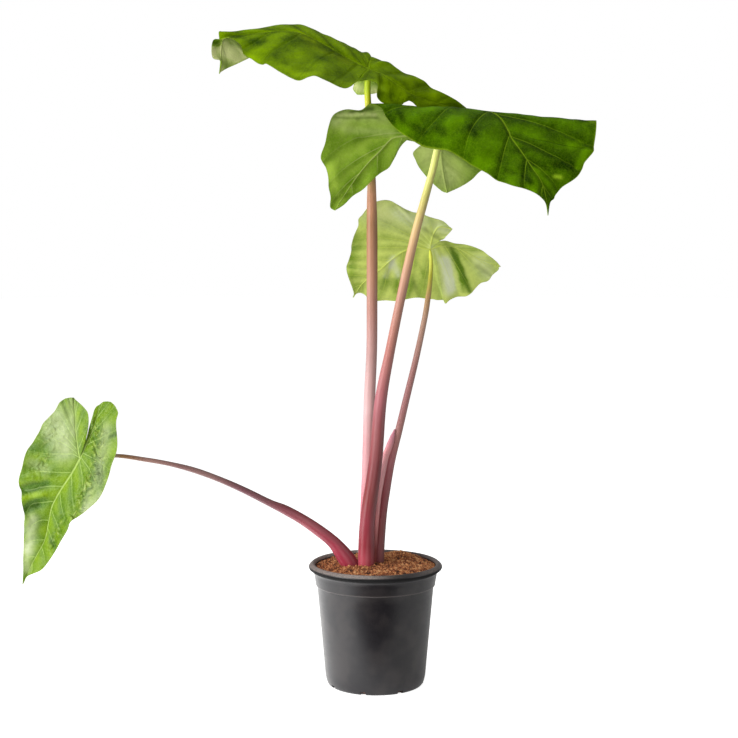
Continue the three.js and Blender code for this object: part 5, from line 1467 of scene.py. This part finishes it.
class ALOCASIA_OT_soil(bpy.types.Operator):
    """Add the mounded, crumbly potting mix"""

    bl_idname = "alocasia.soil"
    bl_label = "Soil"

    def execute(self, context):
        settings = context.scene.alocasia.soil
        rng = np.random.default_rng(SOIL_SEED)
        rings = SOIL_RADIUS * np.linspace(1, 0, SOIL_RINGS, endpoint=False) ** 0.8
        angles = np.linspace(0, 2 * math.pi, SOIL_SEGMENTS, endpoint=False)
        x = rings[:, None] * np.cos(angles)
        y = rings[:, None] * np.sin(angles)
        radius = np.hypot(x, y)
        z = SOIL_EDGE_Z + SOIL_MOUND * (1 - (radius / SOIL_RADIUS) ** 3)
        # Two uneven sets of waves, and a heap towards the back right
        coarse = np.sin(x * 0.31 + 1.3) * np.cos(y * 0.27 - 0.4)
        fine = np.sin(x * 0.73 - y * 0.41) * np.cos(y * 0.66 + x * 0.18 + 2.1)
        z += SOIL_WAVE * (0.6 * coarse + 0.7 * fine)
        out = np.clip((radius / SOIL_RADIUS - 0.45) / 0.43, 0, 1)
        turn = (np.arctan2(y, x) - HEAP_ANGLE) / HEAP_SPREAD
        edge = 1 - 0.67 * np.clip((radius - SOIL_RADIUS + 6) / 6, 0, 1)
        z += HEAP_RISE * np.exp(-(turn**2)) * out * out * (3 - 2 * out) * edge
        crumb = self.crumbs(rng, settings, x, y)
        fade = np.clip((SOIL_RADIUS - radius) / 2, 0, 1)
        z += crumb * fade - SOIL_SINK
        points = np.stack([x, y, z], -1).reshape(-1, 3)
        faces = patch_faces(SOIL_RINGS, SOIL_SEGMENTS, 0, False)
        index = np.arange(SOIL_RINGS * SOIL_SEGMENTS).reshape(SOIL_RINGS, SOIL_SEGMENTS)
        wrap = np.stack([index[:-1, -1], index[:-1, 0], index[1:, 0], index[1:, -1]], -1)
        faces = np.concatenate([faces, wrap]).tolist()
        centre = len(points)
        below = self.sides(points, faces, index, centre)
        crumbs = np.concatenate([crumb.ravel(), np.zeros(len(below) - centre)])
        soil = make_piece("soil_mix", below, faces, node="soil", slot="soil", values={"crumb": crumbs / 3})
        soil.data.materials.append(soil_finish(settings))
        return {"FINISHED"}

    def crumbs(self, rng, settings, x, y):
        """Height of rounded crumbs of many sizes strewn over the surface."""
        height = np.zeros_like(x)
        largest = settings.crumb / MM
        for _ in range(settings.crumbs):
            away = SOIL_RADIUS * math.sqrt(rng.uniform(0, 0.98))
            angle = rng.uniform(0, 2 * math.pi)
            size = largest * (0.22 + 0.78 * rng.uniform() ** 3)
            stretch = rng.uniform(0.3, 1.0)
            turn = rng.uniform(0, math.pi)
            dx = x - away * math.cos(angle)
            dy = y - away * math.sin(angle)
            near = dx * dx + dy * dy < (size * 1.3) ** 2
            across = dx[near] * math.cos(turn) + dy[near] * math.sin(turn)
            along = dy[near] * math.cos(turn) - dx[near] * math.sin(turn)
            dome = np.maximum(0, size**2 - across**2 - (along / stretch) ** 2) ** 0.5 * rng.uniform(0.5, 0.95)
            height[near] = np.maximum(height[near], dome)
        return height

    def sides(self, top, faces, index, centre):
        """Closes the soil at the middle, down the pot's wall and over its floor.

        It adds to the faces and returns all points.
        """
        clear = POT_WALL + SOIL_CLEARANCE
        segments = index.shape[1]
        points = [*top.tolist(), [0, 0, float(top[index[-1], 2].mean())]]
        inner = index[-1].tolist()
        faces += [[inner[s], inner[(s + 1) % segments], centre] for s in range(segments)]
        previous = index[0].tolist()
        for radius, z in (
            (COLLAR_FOOT_RADIUS - clear, COLLAR_FOOT_Z + 3),
            (wall_radius(COLLAR_FOOT_Z, clear), COLLAR_FOOT_Z),
            (HEEL_RADIUS - clear, HEEL_Z),
            (FOOT_RADIUS - 2, POT_FLOOR + SOIL_FLOOR_GAP),
        ):
            lower = list(range(len(points), len(points) + segments))
            points += ring(radius, z, segments)
            faces += [
                [previous[(s + 1) % segments], previous[s], lower[s], lower[(s + 1) % segments]]
                for s in range(segments)
            ]
            previous = lower
        points.append([0, 0, POT_FLOOR + SOIL_FLOOR_GAP])
        faces += [[previous[(s + 1) % segments], previous[s], len(points) - 1] for s in range(segments)]
        return points


class ALOCASIA_OT_corm(bpy.types.Operator):
    """Give the buried corm its fibrous brown skin"""

    bl_idname = "alocasia.corm"
    bl_label = "Corm"

    def execute(self, context):
        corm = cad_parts["corm"]
        corm.data.materials.clear()
        corm.data.materials.append(corm_finish())
        return {"FINISHED"}


def tube_piece(name, node, stalk, look):
    """A stalk along a smooth route of places and radii, with faint lengthwise ribs."""
    route = np.array(stalk["route"], float)
    steps = np.linspace(0, len(route) - 1, STALK_SAMPLES)
    fine = catmull(route[:, :3], steps)
    length = np.concatenate([[0], np.cumsum(np.linalg.norm(np.diff(fine, axis=0), axis=1))])
    count = int(length[-1] / STALK_RING_SPACING)
    travel = np.linspace(0, length[-1] - STALK_END_GAP, count)
    knots = np.interp(travel, length, steps)
    centres = catmull(route[:, :3], knots)
    radii = np.interp(knots, range(len(route)), route[:, 3])
    radii = np.convolve(np.pad(radii, 4, mode="edge"), np.ones(9) / 9, mode="valid")
    radii *= np.interp(length[-1] - travel, (0, STALK_TAPER), (STALK_TIP_SHARE, 1))
    tangents = np.gradient(centres, axis=0)
    tangents /= np.linalg.norm(tangents, axis=1, keepdims=True)
    first = np.cross([0.0, 1.0, 0.0], tangents)
    first /= np.linalg.norm(first, axis=1, keepdims=True)
    second = np.cross(tangents, first)
    angles = np.linspace(0, 2 * math.pi, STALK_SIDES, endpoint=False)
    rib = 1 + look.ribbing * np.sin(angles * STALK_RIBS + 0.6)[None] * np.clip(travel / 60, 0, 1)[:, None]
    rib += look.ribbing * 0.6 * np.sin(angles * 2 + travel[:, None] * 0.013)
    reach = radii[:, None] * rib
    out = first[:, None] * np.cos(angles)[None, :, None] + second[:, None] * np.sin(angles)[None, :, None]
    points = centres[:, None] + out * reach[..., None]
    skin = np.stack([np.cos(angles) * reach, np.sin(angles) * reach, travel[:, None] + 0 * reach], -1)
    along = np.repeat((travel / travel[-1])[:, None], STALK_SIDES, axis=1)
    index = np.arange(count * STALK_SIDES).reshape(count, STALK_SIDES)
    turned = np.roll(index, -1, axis=1)
    faces = np.stack([index[:-1], turned[:-1], turned[1:], index[1:]], -1).reshape(-1, 4).tolist()
    faces += [index[0][::-1].tolist(), index[-1].tolist()]
    side = np.broadcast_to(np.cos(angles), reach.shape)
    values = {"skin": skin.reshape(-1, 3) * MM, "along": along.ravel(), "side": side.ravel()}
    piece = make_piece(name, points.reshape(-1, 3), faces, node=node, slot="stalk", values=values)
    piece.data.materials.append(stalk_finish(name + " skin", stalk["colours"], look))
    return piece


class ALOCASIA_OT_stalks(bpy.types.Operator):
    """Add the four leaf stalks and the pointed sheath"""

    bl_idname = "alocasia.stalks"
    bl_label = "Stalks and sheath"

    def execute(self, context):
        look = context.scene.alocasia.stalks
        tube_piece("stalk_skin_low_left", "stalk_low_left", STALK_LOW, look)
        tube_piece("stalk_skin_tall_back", "stalk_tall_back", STALK_BACK, look)
        tube_piece("stalk_skin_front", "stalk_front", STALK_FRONT, look)
        tube_piece("stalk_skin_slim_right", "stalk_slim_right", STALK_SLIM, look)
        tube_piece("sheath_skin", "sheath", SHEATH, look)
        return {"FINISHED"}


def blade_relief(leaf, fields):
    """How far the blade's middle surface moves towards its upper side."""
    row, across, points = fields["row"], fields["across"], fields["point"]
    puff = np.minimum(PUFF, PUFF_SHARE * fields["reach"]) * np.sin(np.pi * fields["phase"]) ** 2
    puff *= np.sin(np.pi * np.minimum(1, across * 1.1))
    ripple = RIPPLE * across**3 * np.sin(2 * np.pi * row / RIPPLE_ROWS) * (1 - fields["inner"])
    uneven = np.zeros(len(points))
    for direction, size, start in UNEVENNESS:
        uneven += size * np.sin(points @ np.array(direction) + start)
    uneven *= np.sin(np.pi * np.minimum(1, across * 1.2) / 2)
    ends = np.minimum(1, np.minimum(row, MIDRIB_ROWS + LOBE_ROWS - row) / 3)
    return (puff + ripple + uneven + painted(leaf, "swell", points)) * ends


def blade_piece(name, node, slot, leaf, look):
    """A leaf blade with its thickness, raised ribs beneath and shallow grooves above."""
    fields, faces = blade_sheet(leaf)
    points = fields["point"]
    normals = point_normals(points, faces)
    distance, width = rib_distance(leaf, points)
    bulge = np.exp(-((distance / width) ** 2))
    lift = blade_relief(leaf, fields)
    rim = np.clip((1 - fields["across"]) * 12, RIM_SHARE, 1)
    half = look.thickness / MM / 2 * rim
    upper = points + normals * (lift + half - RIB_GROOVE * bulge * width / 2)[:, None]
    lower = points + normals * (lift - half - RIB_BULGE * bulge * width)[:, None]
    count = len(points)
    sheet = faces + [[count + c for c in reversed(f)] for f in faces]
    sheet += [[b, a, count + a, count + b] for a, b in open_edges(faces)]
    both = {key: np.tile(fields[key], 2) for key in ("phase", "reach", "across")}
    both["tone"] = np.tile(leaf["tone"] + painted(leaf, "tone", points), 2)
    both["contrast"] = np.full(2 * count, float(leaf["contrast"]))
    for kind in ("olive", "pucker", "crease"):
        both[kind] = np.tile(np.clip(leaf.get(kind, 0) + painted(leaf, kind, points), 0, 1), 2)
    bloom = painted(leaf, "bloom", points)
    both["bloom"] = np.concatenate([bloom, bloom + painted(leaf, "bloom beneath", points)])
    both["rib"] = np.tile(distance, 2)
    both["rib_width"] = np.tile(width * 1.15, 2)
    both["upper"] = np.repeat([1.0, 0.0], count)
    piece = make_piece(
        name, np.concatenate([upper, lower]), sheet, node=node, slot=slot, values=both, sharp=math.radians(60)
    )
    piece.data.materials.append(blade_finish(name + " skin", look))
    return piece


class ALOCASIA_OT_blades(bpy.types.Operator):
    """Add the four leaf blades"""

    bl_idname = "alocasia.blades"
    bl_label = "Leaf blades"

    def execute(self, context):
        settings = context.scene.alocasia
        blade_piece("blade_low_left", "leaf_low_left", "leaf_light", LEAF_LOW, settings.young)
        blade_piece("blade_tall_back", "leaf_tall_back", "leaf_dark", LEAF_TALL, settings.mature)
        blade_piece("blade_front", "leaf_front", "leaf_dark", LEAF_FRONT, settings.mature)
        blade_piece("blade_slim_right", "leaf_slim_right", "leaf_light", LEAF_SLIM, settings.young)
        return {"FINISHED"}


class ALOCASIA_OT_stage(bpy.types.Operator):
    """Add the pale floor, the soft lights and the camera"""

    bl_idname = "alocasia.stage"
    bl_label = "Stage"

    def execute(self, context):
        settings = context.scene.alocasia.stage
        self.floor(settings)
        self.room(context.scene, settings)
        for name, (size, place, aim, glossy) in LAMPS.items():
            self.lamp(name, getattr(settings, name), size, place, aim, glossy)
        self.camera(context.scene)
        return {"FINISHED"}

    def floor(self, settings):
        """A wide round floor, white to the eye.

        Ahead of the pot it is near black to bounced and mirrored light, as painted shade, and it glows in
        mirrored light only, most at the left near the pot, as a painted reflection on the pot.
        """
        points, faces = lathe([(radius / MM, 0.0) for radius in FLOOR_RINGS], FLOOR_SEGMENTS)
        floor = make_piece("floor", points, faces)
        material, nodes, shader = new_material("floor paper")
        grain = nodes.noise(nodes.place(), 3.0, 2.0)
        pale = tuple(settings.floor)
        pale = nodes.mix(grain, pale, tuple(c * 0.985 for c in pale))
        path = nodes.add("ShaderNodeLightPath").outputs
        seen = path["Is Camera Ray"]
        x, y, _ = nodes.add("ShaderNodeSeparateXYZ", {0: nodes.place()}).outputs
        # Painted shade: ahead of the pot the floor is near black to bounced and mirrored light
        ahead = nodes.times(nodes.math("ABSOLUTE", x), -0.55, nodes.times(y, -1.0))
        shade = nodes.band(ahead, (0.13, 0.24), (1.2, 2.0))
        unlit = nodes.times(shade, nodes.math("SUBTRACT", 1.0, seen))
        nodes.put(shader["Base Color"], nodes.mix(unlit, pale, (0.03, 0.03, 0.03)))
        shader["Roughness"].default_value = 0.9
        shader["Specular IOR Level"].default_value = 0.1
        shader["Emission Color"].default_value = (1, 1, 1, 1)
        # Painted reflection: a glow that only mirrored rays see, strongest at the left near the pot
        left = nodes.smooth(x, -0.16, 0.12, settings.sheen, 0.15)
        aside = nodes.times(left, nodes.smooth(x, -1.2, -0.7))
        aside = nodes.times(aside, nodes.math("SUBTRACT", 1.0, shade))
        mirrored = nodes.times(aside, path["Is Glossy Ray"])
        nodes.put(shader["Emission Strength"], nodes.times(seen, settings.glow, mirrored))
        floor.data.materials.append(material)

    def room(self, scene, settings):
        """Even light from all round, seen as white by the camera."""
        world = bpy.data.worlds.new("studio")
        world.use_nodes = True
        nodes = Nodes(world.node_tree)
        background = world.node_tree.nodes["Background"]
        seen = nodes.add("ShaderNodeLightPath").outputs["Is Camera Ray"]
        nodes.put(background.inputs["Strength"], nodes.blend(seen, settings.sky, 1.0))
        nodes.put(background.inputs["Color"], (1.0, 1.0, 1.0))
        scene.world = world
        scene.view_settings.view_transform = "Standard"

    def lamp(self, name, power, size, place, aim, glossy):
        """A large soft light aimed at a place."""
        data = bpy.data.lights.new(name, "AREA")
        data.energy = power
        data.shape = "RECTANGLE"
        data.size, data.size_y = size
        lamp = bpy.data.objects.new(name, data)
        x, y, z = np.array(aim) - np.array(place)
        lamp.location = place
        lamp.visible_glossy = glossy
        lamp.rotation_euler = (math.atan2(math.hypot(x, y), -z), 0, math.atan2(y, x) - math.pi / 2)
        bpy.context.scene.collection.objects.link(lamp)

    def camera(self, scene):
        """The camera at the photograph's place and angle."""
        data = bpy.data.cameras.new("camera")
        data.lens = CAMERA_LENS
        data.sensor_width = CAMERA_SENSOR
        camera = bpy.data.objects.new("camera", data)
        camera.location = CAMERA_PLACE
        camera.rotation_euler = (math.radians(90 - CAMERA_TILT), 0, 0)
        scene.collection.objects.link(camera)
        scene.camera = camera


class ALOCASIA_PT_panel(bpy.types.Panel):
    """Sizes, colours and pieces of the potted alocasia"""

    bl_idname = "ALOCASIA_PT_panel"
    bl_label = "Potted alocasia"
    bl_space_type = "VIEW_3D"
    bl_region_type = "UI"
    bl_category = "Alocasia"

    def draw(self, context):
        settings = context.scene.alocasia
        for label, group in (
            ("Pot", settings.pot), ("Soil", settings.soil), ("Stalks", settings.stalks),
            ("Mature blades", settings.mature), ("Young blades", settings.young), ("Stage", settings.stage),
        ):
            box = self.layout.box()
            box.label(text=label)
            for setting in group.bl_rna.properties:
                if setting.identifier not in ("rna_type", "name"):
                    box.prop(group, setting.identifier)
        for operator in OPERATORS:
            self.layout.operator(operator.bl_idname)


OPERATORS = (
    ALOCASIA_OT_pot,
    ALOCASIA_OT_soil,
    ALOCASIA_OT_corm,
    ALOCASIA_OT_stalks,
    ALOCASIA_OT_blades,
    ALOCASIA_OT_stage,
)
CLASSES = (
    AlocasiaPot,
    AlocasiaSoil,
    AlocasiaStalks,
    AlocasiaMatureBlades,
    AlocasiaYoungBlades,
    AlocasiaStage,
    AlocasiaSettings,
    *OPERATORS,
    ALOCASIA_PT_panel,
)


def register():
    for cls in CLASSES:
        bpy.utils.register_class(cls)
    bpy.types.Scene.alocasia = PointerProperty(type=AlocasiaSettings)


def unregister():
    del bpy.types.Scene.alocasia
    for cls in reversed(CLASSES):
        bpy.utils.unregister_class(cls)


def main():
    register()
    for operator in OPERATORS:
        family, name = operator.bl_idname.split(".")
        getattr(getattr(bpy.ops, family), name)()
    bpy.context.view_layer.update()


if __name__ == "__main__":
    main()
